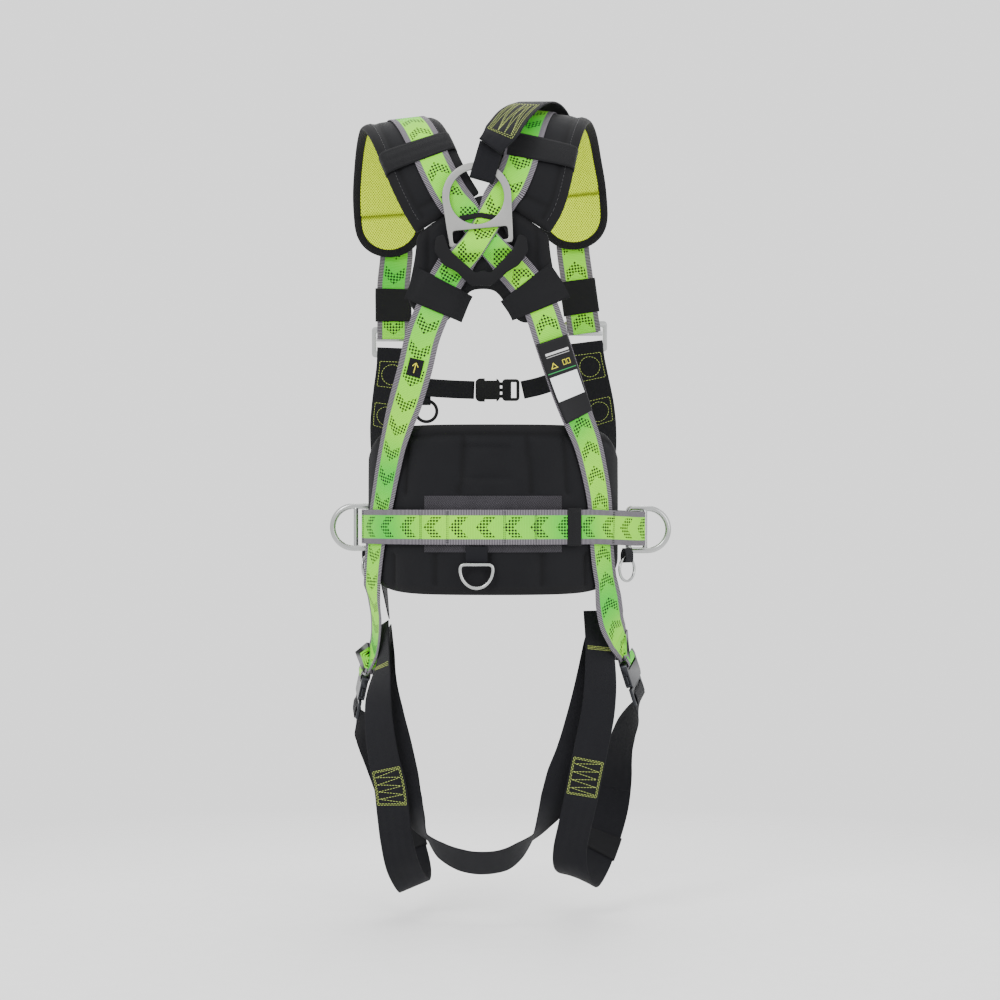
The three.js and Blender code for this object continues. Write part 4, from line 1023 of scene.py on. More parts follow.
def shoulder_outline(route):
    """across and along: straight sides from the yoke seam, and a round free end"""
    half = PAD_WIDTH / 2
    length = route.length
    ease = 46 * MM
    right = [(half, GAP), (half, length - ease)]
    turn = np.linspace(0, math.pi, 22)
    end = [(half * math.cos(a), length - ease + (ease - 1.5 * MM) * math.sin(a)) for a in turn]
    return right + end[1:-1] + [(-half, length - ease), (-half, GAP)]


def distance_at(route, axis, value, past=0.5):
    """distance along a route, in its later part, where one coordinate passes a value"""
    s = np.linspace(past, 1, 600)
    found = s[np.argmin(np.abs(route.frames(s)[0][:, axis] - value))]
    return found * route.length


def shoulder_pad(side, route, seam_z):
    outline = shoulder_outline(route)
    bound = spaced(outline, 6 * MM)
    seam = distance_at(route, 2, seam_z)
    half = PAD_WIDTH / 2
    inner = [[(-half, seam), (half, seam)]]
    rows = [[(u * MM, 12 * MM), (u * MM, route.length - 60 * MM)] for u in (-31, 31)]
    cross = [[(-31 * MM, b), (31 * MM, b)] for b in (24 * MM, route.length - 60 * MM)]
    return pad(f"shoulder_pad_{side}_sewn", outline, pad_on_route(route), PAD_THICK, SHOULDER_CLOTH,
               f"shoulder_pad_{side}", bound=bound, channels=rows + cross, inner_channels=inner,
               groove=0.30,
               cap=1.0 * MM)


YOKE_HALF = [
    (0, 83), (5, 86), (83, 38), (84, 24), (87, 0), (93, -28), (95, -50), (85, -66), (62, -77),
    (47, -76), (36, -62), (22, -40), (12, -33),
]


def yoke_pad():
    outline = np.array(YOKE_HALF + [(-x, z) for x, z in YOKE_HALF[:0:-1]], float) * MM
    smoothed = rounded_outline(outline, 2)
    arms = [[(s * 20 * MM, 74 * MM), (s * 30 * MM, 20 * MM), (s * 34 * MM, -18 * MM)] for s in (-1, 1)]
    rims = [[(s * 70 * MM, 40 * MM), (s * 70 * MM, 0), (s * 76 * MM, -30 * MM), (s * 72 * MM, -58 * MM)]
            for s in (-1, 1)]
    return pad("yoke_pad_sewn", smoothed, lambda a, b, h: np.stack([a, -np.asarray(h), b], axis=-1),
               PAD_THICK,
               YOKE_CLOTH, "yoke_pad", channels=arms + rims, groove=0.35, cap=1.0 * MM)


def lumbar_place(a, b, h):
    """a is the arc from the middle of the back, b the height"""
    angle = np.asarray(a, float) / LUMBAR_ARC * math.radians(LUMBAR_SPREAD)
    x = WAIST["x"] * MM + (WAIST["a"] * MM + h) * np.sin(angle)
    y = WAIST["y"] * MM - (WAIST["b"] * MM + h) * np.cos(angle)
    return np.stack([x, y, np.asarray(b, float)], axis=-1)



def lumbar_pad():
    k = np.linspace(-1, 1, 61)
    middle = (LUMBAR_TOP + LUMBAR_BOTTOM) / 2
    tall = (LUMBAR_TOP - LUMBAR_BOTTOM) / 2 * np.sqrt(np.clip(1 - np.abs(k) ** 5 * 0.62, 0, 1))
    top = np.stack([k * LUMBAR_ARC, middle + tall], axis=-1)
    bottom = np.stack([k * LUMBAR_ARC, middle - tall], axis=-1)[::-1]
    outline = rounded_outline(np.vstack([top, bottom]), 1)
    z0, z1 = -297 * MM, -377 * MM
    channels = []
    for a in (-126, -96, -30, 36, 78, 122):
        lean = 5 * np.sign(a)
        channels.append([(a * MM, -222 * MM), ((a + lean) * MM, z0)])
    for a in (-118, -62, -4, 52, 108):
        channels.append([(a * MM, z1), (a * MM, -415 * MM)])
    channels.append([(-150 * MM, -228 * MM), (-60 * MM, -222 * MM), (80 * MM, -222 * MM),
                     (150 * MM, -230 * MM)])
    centre = (-7 * MM, -258 * MM)
    return pad("lumbar_pad_sewn", outline, lumbar_place, LUMBAR_THICK, LUMBAR_CLOTH, "lumbar_pad",
               channels=channels, groove=0.62, groove_width=3.6 * MM, cap=1.6 * MM, shoulder=13 * MM,
               emboss=[(centre, (26 * MM, 24 * MM), 2.0 * MM)], inner_channels=channels)


# ---------------------------------------------------------------- hard parts
def node_mesh(node):
    """the CAD node's own surface, welded"""
    source = frame["nodes"][node]
    made = bmesh.new()
    made.from_mesh(source.data)
    bmesh.ops.remove_doubles(made, verts=made.verts, dist=0.01 * MM)
    bmesh.ops.dissolve_limit(made, angle_limit=math.radians(1.5), verts=made.verts, edges=made.edges)
    bmesh.ops.recalc_face_normals(made, faces=made.faces)
    vertices = [v.co.copy() for v in made.verts]
    made.verts.index_update()
    faces = [[v.index for v in f.verts] for f in made.faces]
    made.free()
    mesh = bpy.data.meshes.new(node + "_finish")
    mesh.from_pydata(vertices, [], faces)
    return mesh, source["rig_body"]


def dress(mesh, name, material, body, bevel=0.0, sharp=38, segments=3):
    obj = link(bpy.data.objects.new(name, mesh))
    mesh.materials.append(material)
    if bevel:
        modifier = obj.modifiers.new("edges", "BEVEL")
        modifier.width = bevel
        modifier.segments = segments
        modifier.limit_method = "ANGLE"
        modifier.angle_limit = math.radians(30)
        modifier.use_clamp_overlap = True
        bake(obj)
    obj.data.polygons.foreach_set("use_smooth", [True] * len(obj.data.polygons))
    obj.data.set_sharp_from_angle(angle=math.radians(sharp))
    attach(obj, body)
    return obj


def refined(node, material, bevel=0.6 * MM, sharp=38):
    """the same fitting with its edges eased"""
    mesh, body = node_mesh(node)
    obj = dress(mesh, node + "_finish", material, body, bevel, sharp)
    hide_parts(node)
    return obj


def rod(name, line, radius, material, body, closed=True, up=(0, 1, 0), around=20, replaces=()):
    """a round bar bent along a line"""
    line = np.array(line, float)
    if closed:
        along = unit(np.roll(line, -1, axis=0) - np.roll(line, 1, axis=0))
    else:
        along = unit(np.gradient(line, axis=0))
    first = unit(np.cross(along, np.array(up, float)))
    second = np.cross(along, first)
    turn = np.linspace(0, 2 * math.pi, around, endpoint=False)
    rings = (line[:, None, :] + radius * (first[:, None, :] * np.cos(turn)[None, :, None]
                                          + second[:, None, :] * np.sin(turn)[None, :, None]))
    obj = lofted(name, rings, material, body, closed)
    if replaces:
        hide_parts(*replaces)
    return obj


def even_line(points, pitch, closed=True):
    points = np.array(points, float)
    if closed:
        points = np.vstack([points, points[:1]])
    reach = np.concatenate([[0], np.cumsum(np.linalg.norm(np.diff(points, axis=0), axis=1))])
    count = max(6, int(round(reach[-1] / pitch)))
    at = np.linspace(0, reach[-1], count + (0 if closed else 1), endpoint=not closed)
    return np.stack([np.interp(at, reach, points[:, k]) for k in range(points.shape[1])], axis=-1)


def rounded_corners(points, radius, steps=6):
    """closed flat outline in millimetres with its corners rounded"""
    points = np.array(points, float)
    count = len(points)
    made = []
    for i in range(count):
        before, here, after = points[i - 1], points[i], points[(i + 1) % count]
        a, b = before - here, after - here
        room = min(np.linalg.norm(a), np.linalg.norm(b)) / 2
        cut = min(radius, room)
        start, end = here + unit(a) * cut, here + unit(b) * cut
        for k in range(steps + 1):
            t = k / steps
            made.append((1 - t) ** 2 * start + 2 * t * (1 - t) * here + t ** 2 * end)
    return np.array(made)


def plate(name, outlines, back, front, bevel, material, body, place, replaces=(), sharp=40):
    """A flat plate with rounded edges, from outlines (outer first, then its holes) in millimetres.
    place turns its own (x, y, z) in metres into the row frame; back and front are its faces in y."""
    curve = bpy.data.curves.new(name, "CURVE")
    curve.dimensions = "2D"
    curve.fill_mode = "BOTH"
    curve.extrude = (front - back) / 2 * MM - bevel * MM
    curve.bevel_depth = bevel * MM
    curve.bevel_resolution = 3
    curve.offset = -bevel * MM
    for outline in outlines:
        spline = curve.splines.new("POLY")
        spline.points.add(len(outline) - 1)
        spline.points.foreach_set("co", np.hstack([np.array(outline) * MM, np.zeros((len(outline), 1)),
                                                   np.ones((len(outline), 1))]).ravel())
        spline.use_cyclic_u = True
    holder = link(bpy.data.objects.new(name + "_curve", curve))
    mesh = bpy.data.meshes.new_from_object(holder.evaluated_get(bpy.context.evaluated_depsgraph_get()))
    bpy.data.objects.remove(holder)
    middle = (front + back) / 2 * MM
    for vertex in mesh.vertices:
        x, z, y = vertex.co
        vertex.co = place(x, middle + y, z)
    mesh.name = name
    mesh.materials.clear()
    made = bmesh.new()
    made.from_mesh(mesh)
    bmesh.ops.remove_doubles(made, verts=made.verts, dist=0.005 * MM)
    bmesh.ops.recalc_face_normals(made, faces=made.faces)
    made.to_mesh(mesh)
    made.free()
    obj = dress(mesh, name, material, body, 0.0, sharp)
    if replaces:
        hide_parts(*replaces)
    return obj


def arc(cx, cy, radius, start, end, steps):
    turn = np.radians(np.linspace(start, end, steps))
    return [(cx + radius * math.cos(a), cy + radius * math.sin(a)) for a in turn]


def leaning(x, y, z):
    """the dorsal ring's own frame to the row frame"""
    c, s = math.cos(RING["lean"]), math.sin(RING["lean"])
    return (RING["x"] + x * c - z * s, y, RING["z"] + x * s + z * c)


def dorsal_ring():
    eye, outer, leg, bar = 60, 44.5, 41, 2.5
    side = math.degrees(math.asin((leg + 3.5) / outer))
    top = arc(0, eye, outer, side - 90, 270 - side, 72)
    foot = rounded_corners([(-leg, -bar), (leg, -bar), top[0], top[-1]], 4)
    outline = np.vstack([foot[7:14], top, foot[:7]])
    hole = arc(0, eye, 35, 360, 5, 72)
    window = rounded_corners([(-35.5, 19), (35.5, 19), (35.5, 2.5), (-35.5, 2.5)], 4)
    plate("dorsal_d_ring_forged", [outline, hole, window], -21.9, -17.9, 1.1, SATIN_STEEL, "dorsal_ring",
          leaning,
          ["dorsal_d_ring"], 50)


def back_plate():
    outline = rounded_corners([
        (-60, 30), (-62, 12), (-50, -6), (-34, -14), (-16, -32), (12, -32), (32, -14), (46, -6), (58, 12),
        (56, 30), (46, 34), (38, 14), (10, -16), (1, -12), (-9, -16), (-43, 14), (-50, 34),
    ], 4)
    plate("back_plate_moulded", [outline[::-1]], -31, -27.9, 1.0, PLASTIC, "harness", lambda x, y,
          z: (x, y, z),
          ["back_plate"], 50)
    for k, (x, z) in enumerate([(-56, 26), (52, 26), (-2, -26)]):
        foot = rounded_corners([(-3.5, -4), (3.5, -4), (3.5, 4), (-3.5, 4)], 1.5)
        plate(f"back_plate_foot_{k}", [foot], -28.2, -12.4, 0.5, PLASTIC, "harness",
              lambda a, b, c, x=x, z=z: (a + x * MM, b, c + z * MM))


def plate_rib():
    """low arch of the back plate between the crossed straps and the ring"""
    arch = [(-46, 36), (-40, 50), (-28, 59), (-4, 63), (20, 59), (32, 50), (40, 36)]
    outline = rounded_corners(arch + [(x * 0.84 - 0.4, z - 6.5) for x, z in arch[::-1]], 3)
    plate("back_plate_rib", [outline], -17.6, -16.5, 0.4, PLASTIC, "harness", lambda x, y, z: (x, y, z))


def side_ring(side, sign, centre):
    tall, straight, corner, wire = 28, 25, 5, 4
    loop = [(sign * tall * math.sin(a), 0, tall * math.cos(a)) for a in np.radians(np.linspace(0, 180, 60))]
    for cx, cz, first in ((-straight + corner, -tall + corner, 270),
                          (-straight + corner, tall - corner, 180)):
        loop += [(sign * (cx + corner * math.cos(math.radians(a))), 0,
                  cz + corner * math.sin(math.radians(a)))
                 for a in np.linspace(first, first - 90, 9)]
    line = even_line(np.array(loop) * MM + np.array(centre), 1.6 * MM)
    rod(f"side_d_ring_{side}_forged", line, wire * MM, BRIGHT_STEEL, f"side_ring_{side}",
        replaces=[f"side_d_ring_{side}"])
    x = centre[0] - sign * 3 * MM
    bar = [(x, centre[1], centre[2] + z * MM) for z in np.linspace(-tall, tall, 12)]
    rod(f"side_d_ring_{side}_bar", bar, 3.2 * MM, BRIGHT_STEEL, f"side_ring_{side}", closed=False)


def round_ring(name, centre, radius, wire, turn, material, body, node):
    a = np.linspace(0, 2 * math.pi, 64, endpoint=False)
    across = np.array([math.cos(math.radians(turn)), math.sin(math.radians(turn)), 0])
    line = np.array(centre) + radius * (np.cos(a)[:, None] * across + np.sin(a)[:, None]
                                        * np.array([0, 0, 1]))
    normal = np.cross(across, [0, 0, 1])
    rod(name, line, wire, material, body, up=normal, replaces=[node])


def tool_ring():
    half, wire = 21, 2.2
    loop = [(half * math.cos(a), 0, -6 - 24 * math.sin(a)) for a in np.linspace(0, math.pi, 50)]
    loop += [(-half + 0.6, 0, -2.5), (-half + 2.5, 0, -0.6), (-half + 5, 0, 0)]
    loop += [(half - 5, 0, 0), (half - 2.5, 0, -0.6), (half - 0.6, 0, -2.5)]
    line = even_line(np.array(loop) * MM + np.array([-8, -23, -389]) * MM, 1.4 * MM)
    rod("tool_d_ring_forged", line, wire * MM, BRIGHT_STEEL, "tool_ring", replaces=["tool_d_ring"])


def tab(name, centre, width, tall, bore, drop, turn, node):
    """tape folded round a ring's rod, sewn above it"""
    wall = 1.2
    low = -bore - drop - wall / 2
    line = [(bore * 0.35, tall), (bore + wall / 2, bore * 1.6), (bore + wall / 2, low + 2)]
    line += [((bore + wall / 2 - 2) + 2 * math.cos(a), low + 2 - 2 * math.sin(a))
             for a in np.radians([30, 60, 90])]
    line = line + [(-d, z) for d, z in line[::-1]]
    c, s = math.cos(math.radians(turn)), math.sin(math.radians(turn))
    rows = []
    for k, (d, z) in enumerate(line):
        before, after = line[max(k - 1, 0)], line[min(k + 1, len(line) - 1)]
        out = unit([-(after[1] - before[1]), after[0] - before[0]])
        rows.append([centre[0] - d * s, centre[1] + d * c, centre[2] + z, -out[0] * s, out[0] * c, out[1]])
    web(name, Route(rows), BLACK_WEB, width * MM, wall * MM, pitch=1.2 * MM, columns=6, replaces=[node])


def sleeve(name, route, start, end, width, height, thick, material, node=None, lift=0.0, pitch=2.5 * MM):
    """a flat woven keeper round a strap"""
    count = max(3, int(round(route.length * (end - start) / pitch)))
    s = np.linspace(start, end, count + 1)

    def outline(w, h):
        r = h / 2
        right = [(w / 2 - r + r * math.cos(a), r * math.sin(a))
                 for a in np.linspace(math.pi / 2, -math.pi / 2, 9)]
        left = [(-x, y) for x, y in right[::-1]]
        top = [(x, h / 2) for x in np.linspace(-w / 2 + r, w / 2 - r, 14)[1:-1]]
        low = [(x, -h / 2) for x in np.linspace(w / 2 - r, -w / 2 + r, 14)[1:-1]]
        return np.array(right + low + left + top)

    outer = outline(width, height)
    inner = outline(width - 2 * thick, height - 2 * thick)
    rings, laid = [], []
    for shape, order in ((outer, s), (inner, s[::-1])):
        reach = np.concatenate([[0], np.cumsum(np.linalg.norm(np.diff(shape, axis=0), axis=1))])
        for at in order:
            n = len(shape)
            rings.append(route.place(np.full(n, at), shape[:, 0], lift + shape[:, 1]))
            laid.append(np.stack([np.full(n, at * route.length), reach, np.zeros(n)], axis=-1))
    obj = lofted(name, rings, material, closed=True, layers={"web": np.vstack(laid)})
    if node:
        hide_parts(node)
    return obj


# ---------------------------------------------------------------- assembly: places along the routes
CROSSING_ROW = 29
YOKE_BAND_ROW = 33
LABEL_ROW = 35
BELT_KEEPER_ROW = 13.7
CROSSING_HALF = 56 * MM
CROSSING_WIDTH = 34
WIDTH_GAINED = 11
LEG_END_LENGTH = 100 * MM
LABEL_WIDTH = 42 * MM
LABEL_LENGTH = 106 * MM
SIDE_RING_PLACE = {"left": (-0.173, 0.113, -0.342), "right": (0.218, 0.109, -0.345)}


# ---------------------------------------------------------------- assembly: straps
def main_width(route):
    at = route.fraction(CROSSING_ROW)
    half = CROSSING_HALF / route.length
    return lambda s: (CROSSING_WIDTH + WIDTH_GAINED * smooth(np.abs(s - at), 0.4 * half, half)) * MM


web("main_strap_left_web", MAIN_LEFT, LIME_WEB, main_width(MAIN_LEFT), warp=through_slot, flip=1,
    replaces=["main_strap_left"], pitch=2.5 * MM)
web("main_strap_right_web", MAIN_RIGHT, LIME_WEB, main_width(MAIN_RIGHT), warp=through_slot, flip=-1,
    replaces=["main_strap_right"], pitch=2.5 * MM)
web("front_strap_left_web", FRONT_LEFT, BLACK_WEB, replaces=["front_strap_left"])
web("front_strap_right_web", FRONT_RIGHT, BLACK_WEB, replaces=["front_strap_right"])
for side, route, start, end in (("left", FRONT_LEFT, 0.08, 0.26), ("right", FRONT_RIGHT, 0.08, 0.27)):
    web(f"sternal_loop_{side}_web", route, BLACK_WEB, 40 * MM, 2 * MM, start=start, end=end,
        lift=lambda s, a=start,
        b=end: (3.6 + 11 * np.sin(np.pi * np.clip((s - a) / (b - a), 0, 1)) ** 2) * MM,
        replaces=[f"sternal_loop_{side}"])
web("chest_strap_left_web", CHEST_LEFT, BLACK_WEB, CHEST_WEB_WIDTH, replaces=["chest_strap_left"],
    columns=8)
chest_right = web("chest_strap_right_web", CHEST_RIGHT, BLACK_WEB, CHEST_WEB_WIDTH,
                  replaces=["chest_strap_right"],
                  columns=8, ride=False)
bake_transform(chest_right)
web("belt_webbing_rear_web", BELT_REAR, LIME_WEB, flip=1, replaces=["belt_webbing_rear"])
belt_left = web("belt_webbing_front_left_web", BELT_FRONT_LEFT, LIME_WEB,
                replaces=["belt_webbing_front_left"], ride=False)
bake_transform(belt_left)
web("belt_webbing_front_right_web", BELT_FRONT_RIGHT, LIME_WEB, flip=-1,
    replaces=["belt_webbing_front_right"])
web("lumbar_ribbed_band_web", RIBBED_BAND, RIBBED, 73 * MM, 1.2 * MM, replaces=["lumbar_ribbed_band"],
    columns=30)
web("sub_pelvic_strap_web", SUB_PELVIC, BLACK_WEB, replaces=["sub_pelvic_strap"])


def buckle_frame(up, outward):
    y = unit(up)
    z = np.array(outward, float)
    z = unit(z - y * (z @ y))
    return np.cross(y, z), y, z


BUCKLES = {
    "leg_left": ((-163, 139, -552), *buckle_frame((0.22, -0.18, 0.96), (-1, -0.1, 0))),
    "leg_right": ((196, 114, -532), *buckle_frame((-0.3, -0.22, 0.93), (0.95, -0.25, 0))),
    "belt": ((30, 238, -341), *buckle_frame((1, 0, 0), (0, 1, 0))),
}


def threaded(prefix, line):
    """rows of a route from (along, outward) points in a buckle's own frame, in millimetres"""
    origin, across, along, outward = BUCKLES[prefix]
    line = np.array(line, float)
    way = np.gradient(line, axis=0)
    rows = []
    for (a, o), (da, do) in zip(line, unit(way)):
        rows.append([*(np.array(origin) + along * a + outward * o), *(-do * along + da * outward)])
    return rows


THROUGH_TONGUE = [(-50, -3.1), (-42, -3.3), (-35, -3.3), (-30, -3.2), (-27.2, -2.2), (-26.3, 0),
                  (-27.2, 2.2),
                  (-30, 3.2), (-36, 3.2), (-43, 2.4)]
THROUGH_RECEIVER = [(34, -3.2), (26, -4.8), (18, -5.7), (12.6, -5.8), (10.0, -4.4), (9.2, 0), (10.0, 4.4),
                    (12.6, 5.8),
                    (17, 5.6), (22, 4.2)]
for side, route in (("left", LEG_LEFT), ("right", LEG_RIGHT)):
    split = 1 - LEG_END_LENGTH / route.length
    web(f"leg_strap_{side}_web", route, BLACK_WEB, end=split, replaces=[f"leg_strap_{side}"])
    lead = route.rows(split, 0.985, 5, 0)
    end_route = Route([*lead, *threaded(f"leg_{side}", THROUGH_TONGUE)])
    tail = web(f"leg_strap_{side}_end_web", end_route, BLACK_WEB, pitch=1.6 * MM, ride=False,
               phase=split * route.length)
    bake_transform(tail)
for side, route, prefix, way in (("left", MAIN_LEFT, "leg_right", 1),
                                 ("right", MAIN_RIGHT, "leg_left", -1)):
    lead = route.rows(1 - 26 * MM / route.length, 1 - 14 * MM / route.length, 2, 0)
    end_route = Route([*lead, *threaded(prefix, THROUGH_RECEIVER)])
    web(f"main_strap_{side}_fold_web", end_route, LIME_WEB, 44.4 * MM, 1.3 * MM, pitch=1.6 * MM, flip=way,
        lift=0.2 * MM)

extension = web("extension_strap_web", EXTENSION, BLACK_WEB, lambda s: (34 + 12 * smooth(s, 0, 0.1)) * MM,
                2.8 * MM,
                replaces=["extension_strap"], ride=False)
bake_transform(extension)


def extension_loop():
    lean = math.radians(16)
    eye = leaning(0, -19.9 * MM, 60 * MM)
    base = np.array(eye) + 26 * MM * np.array([math.sin(lean), 0, math.cos(lean)])
    bend = 3.7
    line = [(1.3, 44), (2.4, 36), (bend, 27), (bend, 12)]
    line += [(bend * math.cos(a), -bend * math.sin(a)) for a in np.radians(np.linspace(0, 180, 9))]
    line += [(-bend, 12), (-bend, 27), (-2.4, 36), (-1.3, 44)]
    rows = []
    for k, (d, z) in enumerate(line):
        before, after = line[max(k - 1, 0)], line[min(k + 1, len(line) - 1)]
        out = unit([-(after[1] - before[1]), after[0] - before[0]])
        rows.append([base[0] / MM + z * math.sin(lean), base[1] / MM + d, base[2] / MM + z * math.cos(lean),
                     out[1] * math.sin(lean), out[0], out[1] * math.cos(lean)])
    web("extension_strap_loop_web", Route(rows), BLACK_WEB, 32 * MM, 2.1 * MM, pitch=1.2 * MM,
        body="dorsal_ring", replaces=["extension_strap_loop"])


extension_loop()
label_start = MAIN_LEFT.fraction(LABEL_ROW)
web("label_packet_vinyl", MAIN_LEFT, LABEL, LABEL_WIDTH, 3.6 * MM, 3.9 * MM, label_start,
    label_start + LABEL_LENGTH / MAIN_LEFT.length, phase=-label_start * MAIN_LEFT.length,
    replaces=["label_packet"])

OVER_PAD = [(-48.8, 2), (-48.6, 9), (-46, 13), (-38, 14.6), (-26, 15.2), (0, 15.4), (26, 15.2), (38, 14.6),
            (46, 13),
            (48.6, 9), (48.8, 2)]
band("shoulder_band_left_elastic", PAD_LEFT, 0.215 - 15 * MM / PAD_LEFT.length,
     0.215 + 15 * MM / PAD_LEFT.length, OVER_PAD,
     ELASTIC, replaces=["shoulder_band_left"])
band("shoulder_band_right_elastic", PAD_RIGHT, 0.21 - 17 * MM / PAD_RIGHT.length,
     0.21 + 17 * MM / PAD_RIGHT.length,
     OVER_PAD, ELASTIC, replaces=["shoulder_band_right"])
for side, route, sink in (("left", MAIN_RIGHT, -3.0), ("right", MAIN_LEFT, -0.4)):
    at = route.fraction(YOKE_BAND_ROW)
    section = [(-40, sink), (-34, sink + 0.8), (-25, 1.9), (-14, 2.3), (14, 2.3), (25, 1.9),
               (34, sink + 0.8), (40, sink)]
    band(f"yoke_band_{side}_elastic", route, at - 8 * MM / route.length, at + 32 * MM / route.length,
         section, ELASTIC,
         replaces=[f"yoke_band_{side}"], warp=through_slot)
sleeve("front_keeper_left_elastic", MAIN_LEFT, 0.02, 0.057, 50 * MM, 6.2 * MM, 1.2 * MM, ELASTIC,
       "front_keeper_left")
sleeve("front_keeper_right_elastic", MAIN_RIGHT, 0.022, 0.06, 50 * MM, 6.2 * MM, 1.2 * MM, ELASTIC,
       "front_keeper_right")
at = BELT_REAR.fraction(BELT_KEEPER_ROW)
half = 10 * MM / BELT_REAR.length
sleeve("belt_keeper_elastic", BELT_REAR, at - half, at + half, 49 * MM, 4.4 * MM, 1.1 * MM, ELASTIC,
       "belt_keeper")

# ---------------------------------------------------------------- assembly: pads
shoulder_pad("left", PAD_LEFT, 0.085)
shoulder_pad("right", PAD_RIGHT, 0.110)
yoke_pad()
lumbar_pad()

# ---------------------------------------------------------------- assembly: fittings
dorsal_ring()
back_plate()
plate_rib()
side_ring("left", -1, SIDE_RING_PLACE["left"])
side_ring("right", 1, SIDE_RING_PLACE["right"])
tool_ring()
round_ring("hip_ring_left_forged", (-0.1555, 0.130, -0.395), 15.5 * MM, 1.9 * MM, 68, BRIGHT_STEEL,
           "hip_ring_l", "hip_ring_left")
round_ring("hip_ring_right_forged", (0.189, 0.066, -0.397), 15.5 * MM, 1.9 * MM, 49, BRIGHT_STEEL,
           "hip_ring_r", "hip_ring_right")
round_ring("parking_ring_moulded", (-0.080, 0.246, -0.183), 14.5 * MM, 2.3 * MM, 0, PLASTIC, "parking",
           "parking_ring")
tab("hip_ring_loop_left_web", (-155.5, 130, -379.5), 16, 12, 3.4, 2.2, 68, "hip_ring_loop_left")
tab("hip_ring_loop_right_web", (189, 66, -381.5), 16, 12, 3.4, 2.2, 49, "hip_ring_loop_right")
tab("parking_ring_tab_web", (-80, 246, -168.5), 12, 17, 3.4, 1.5, 0, "parking_ring_tab")
refined("tool_ring_strap", BLACK_WEB, 0.4 * MM)
for side in ("left", "right"):
    refined(f"adjuster_frame_{side}", BRIGHT_STEEL, 0.9 * MM)
    refined(f"adjuster_bar_{side}", BRIGHT_STEEL, 0.7 * MM)
refined("chest_buckle_socket", PLASTIC, 1.0 * MM)
refined("chest_buckle_plug", PLASTIC, 0.8 * MM)
for prefix in ("leg_left", "leg_right", "belt"):
    refined(f"{prefix}_buckle_receiver", DARK_STEEL, 1.2 * MM)
    refined(f"{prefix}_buckle_tongue", DARK_STEEL, 0.8 * MM)
    for name in ("front", "rear"):
        refined(f"{prefix}_buckle_lever_{name}", DARK_STEEL, 0.7 * MM)

# ---------------------------------------------------------------- assembly: stitching
def box_path(v0, v1, u, inset=0.0):
    v0, v1, u = v0 + inset, v1 - inset, u - inset
    return [(v0 * MM, -u * MM), (v1 * MM, -u * MM), (v1 * MM, u * MM), (v0 * MM, u * MM),
            (v0 * MM, -u * MM)]


def zigzag(v0, v1, u, rows, along=True):
    made = []
    for k in range(rows + 1):
        t = k / rows
        a, b = (v0, v1) if k % 2 == 0 else (v1, v0)
        made.append((a * MM, (-u + 2 * u * t) * MM)
                    if along else ((v0 + (v1 - v0) * t) * MM, (-u if k % 2 else u) * MM))
    return made


def circle_path(v, u, radius):
    turn = np.linspace(0, 2 * math.pi, 40)
    return [((v + radius * math.cos(a)) * MM, (u + radius * math.sin(a)) * MM) for a in turn]


ABOVE_WEB = 0.85 * MM
sewn = sew("extension_strap_stitches", on_route(EXTENSION, 1.5 * MM),
           [box_path(22, 112, 18), box_path(22, 112, 18, 2.5), zigzag(26, 108, 14, 6),
            zigzag(26, 108, 14, 3)],
           THREAD, ride=False)
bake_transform(sewn)
for side, route, row, tack in (("left", LEG_LEFT, 6.0, 2.0), ("right", LEG_RIGHT, 6.1, 1.8)):
    sew(f"leg_patch_{side}_stitches", on_route(route, ABOVE_WEB, route.fraction(row)),
        [box_path(-24, 24, 20), box_path(-24, 24, 20, 1.8), zigzag(-21, 21, 17, 8, along=False)], THREAD)
    sew(f"leg_tack_{side}_stitches", on_route(route, ABOVE_WEB, route.fraction(tack)),
        [[(v * MM, -20 * MM), (v * MM, 20 * MM)] for v in (0, 2, 4)], THREAD, dash=2.0 * MM, gap=0.4 * MM)
    sleeve(f"leg_keeper_{side}_elastic", route,
           route.fraction(12.2 if side == "left" else 13.0) - 15 * MM / route.length,
           route.fraction(12.2 if side == "left" else 13.0) + 15 * MM / route.length, 49 * MM, 4.2 * MM,
           1.0 * MM, ELASTIC)
for side, route, rows in (("left", FRONT_LEFT, (1.35, 3.3)), ("right", FRONT_RIGHT, (1.35, 3.4))):
    paths = []
    for row in rows:
        middle = route.fraction(row) * route.length / MM
        paths += [box_path(middle - 18, middle + 18, 18), circle_path(middle, 0, 14)]
    for face, height in (("back", -ABOVE_WEB), ("front", ABOVE_WEB)):
        sew(f"front_patch_{side}_{face}_stitches", on_route(route, height), paths, THREAD)
belt_rows = [BELT_REAR.fraction(row) * BELT_REAR.length / MM
             for row in (1.4, 6.14, 7.52, 10.2, 11.68, 15.6)]
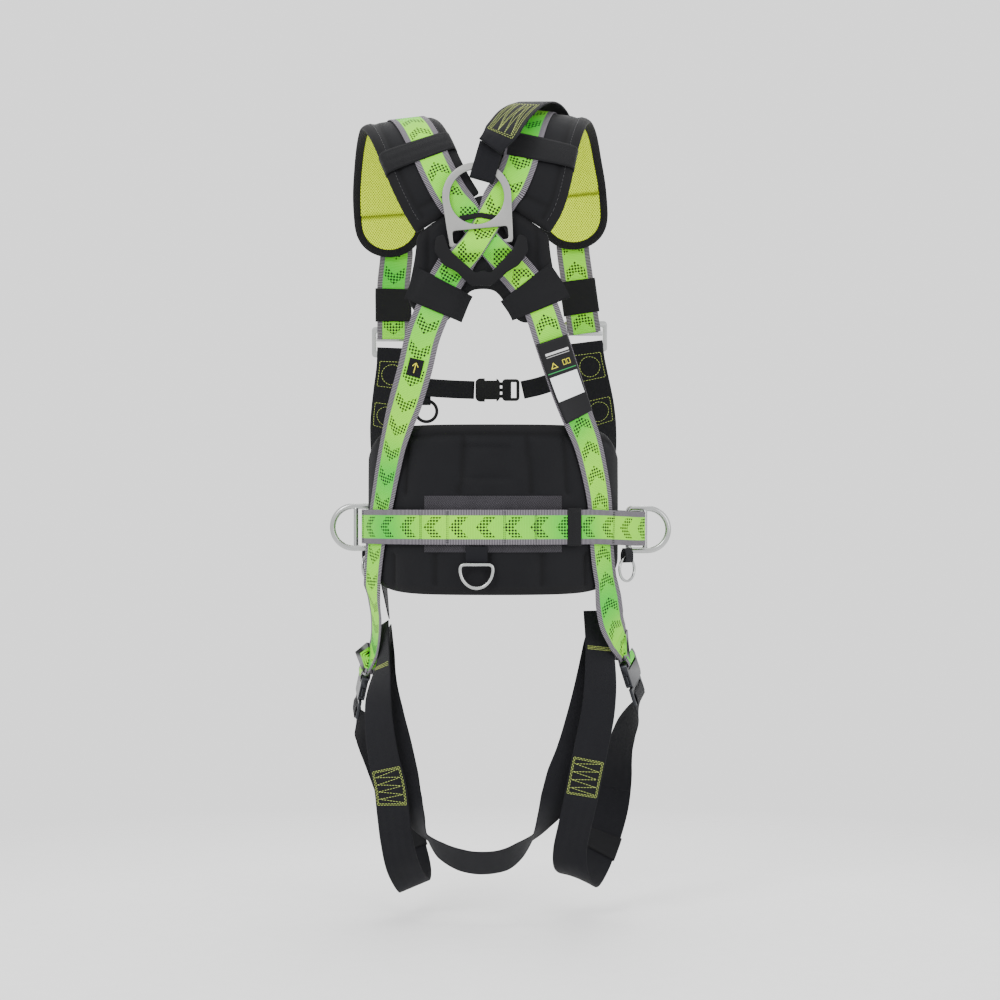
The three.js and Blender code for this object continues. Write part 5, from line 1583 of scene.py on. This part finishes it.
sew("belt_stitches", on_route(BELT_REAR, ABOVE_WEB),
    [[((v + d) * MM, -21 * MM), ((v + d) * MM, 21 * MM)] for v in belt_rows for d in (-1, 1)], DARK_THREAD,
    dash=2.2 * MM, gap=0.5 * MM)
for side, route in (("left", PAD_LEFT), ("right", PAD_RIGHT)):
    edge = (PAD_WIDTH / MM) / 2 - 10
    line = [(12, -edge), (route.length / MM - 48, -edge)]
    line += [(route.length / MM - 48 + 36 * math.sin(a), -edge * math.cos(a))
             for a in np.linspace(0.1, math.pi - 0.1, 24)]
    line += [(route.length / MM - 48, edge), (12, edge)]
    sew(f"shoulder_binding_{side}_stitches", on_route(route, PAD_THICK - 0.4 * MM),
        [[(v * MM, u * MM) for v, u in line]],
        DARK_THREAD, dash=3.2 * MM, gap=1.2 * MM)
tag = MAIN_RIGHT.fraction(36)
tag_half = 11.5 * MM / MAIN_RIGHT.length
web("size_tag_web", MAIN_RIGHT, BLACK_WEB, 19 * MM, 1.2 * MM, 1.4 * MM, tag - tag_half, tag + tag_half,
    pitch=2 * MM)
sew("size_tag_arrow", on_route(MAIN_RIGHT, 2.2 * MM, tag),
    [[(7 * MM, 0), (-6 * MM, 0)], [(-1.5 * MM, -4 * MM), (-6.5 * MM, 0), (-1.5 * MM, 4 * MM)]], MARK,
    dash=1.8 * MM,
    gap=0.0, radius=0.7 * MM)

# ---------------------------------------------------------------- floor and ending
def pale_floor():
    p = Paint("pale_floor")
    place = p.place()
    parts = p.node("ShaderNodeSeparateXYZ", {0: place}).outputs
    away = p.math("SQRT", p.add(p.times(parts[0], parts[0]), p.times(parts[1], parts[1])))
    grain = p.noise(place, 40.0, 2.0)
    p.finish(p.mix(grain, (0.86, 0.86, 0.86), (0.82, 0.82, 0.82)), 0.7, p.bump(grain, 0.2 * MM))
    p.plug(p.shader.inputs["Alpha"], p.below(away, 1.0, 0.35))
    return p.material


vertices = [(1.4 * math.cos(a), 1.4 * math.sin(a), -0.86)
            for a in np.linspace(0, 2 * math.pi, 96, endpoint=False)]
floor = link(bpy.data.objects.new("floor", bpy.data.meshes.new("floor")))
floor.data.from_pydata(vertices, [], [tuple(range(96))])
floor.data.materials.append(pale_floor())

bpy.context.view_layer.update()
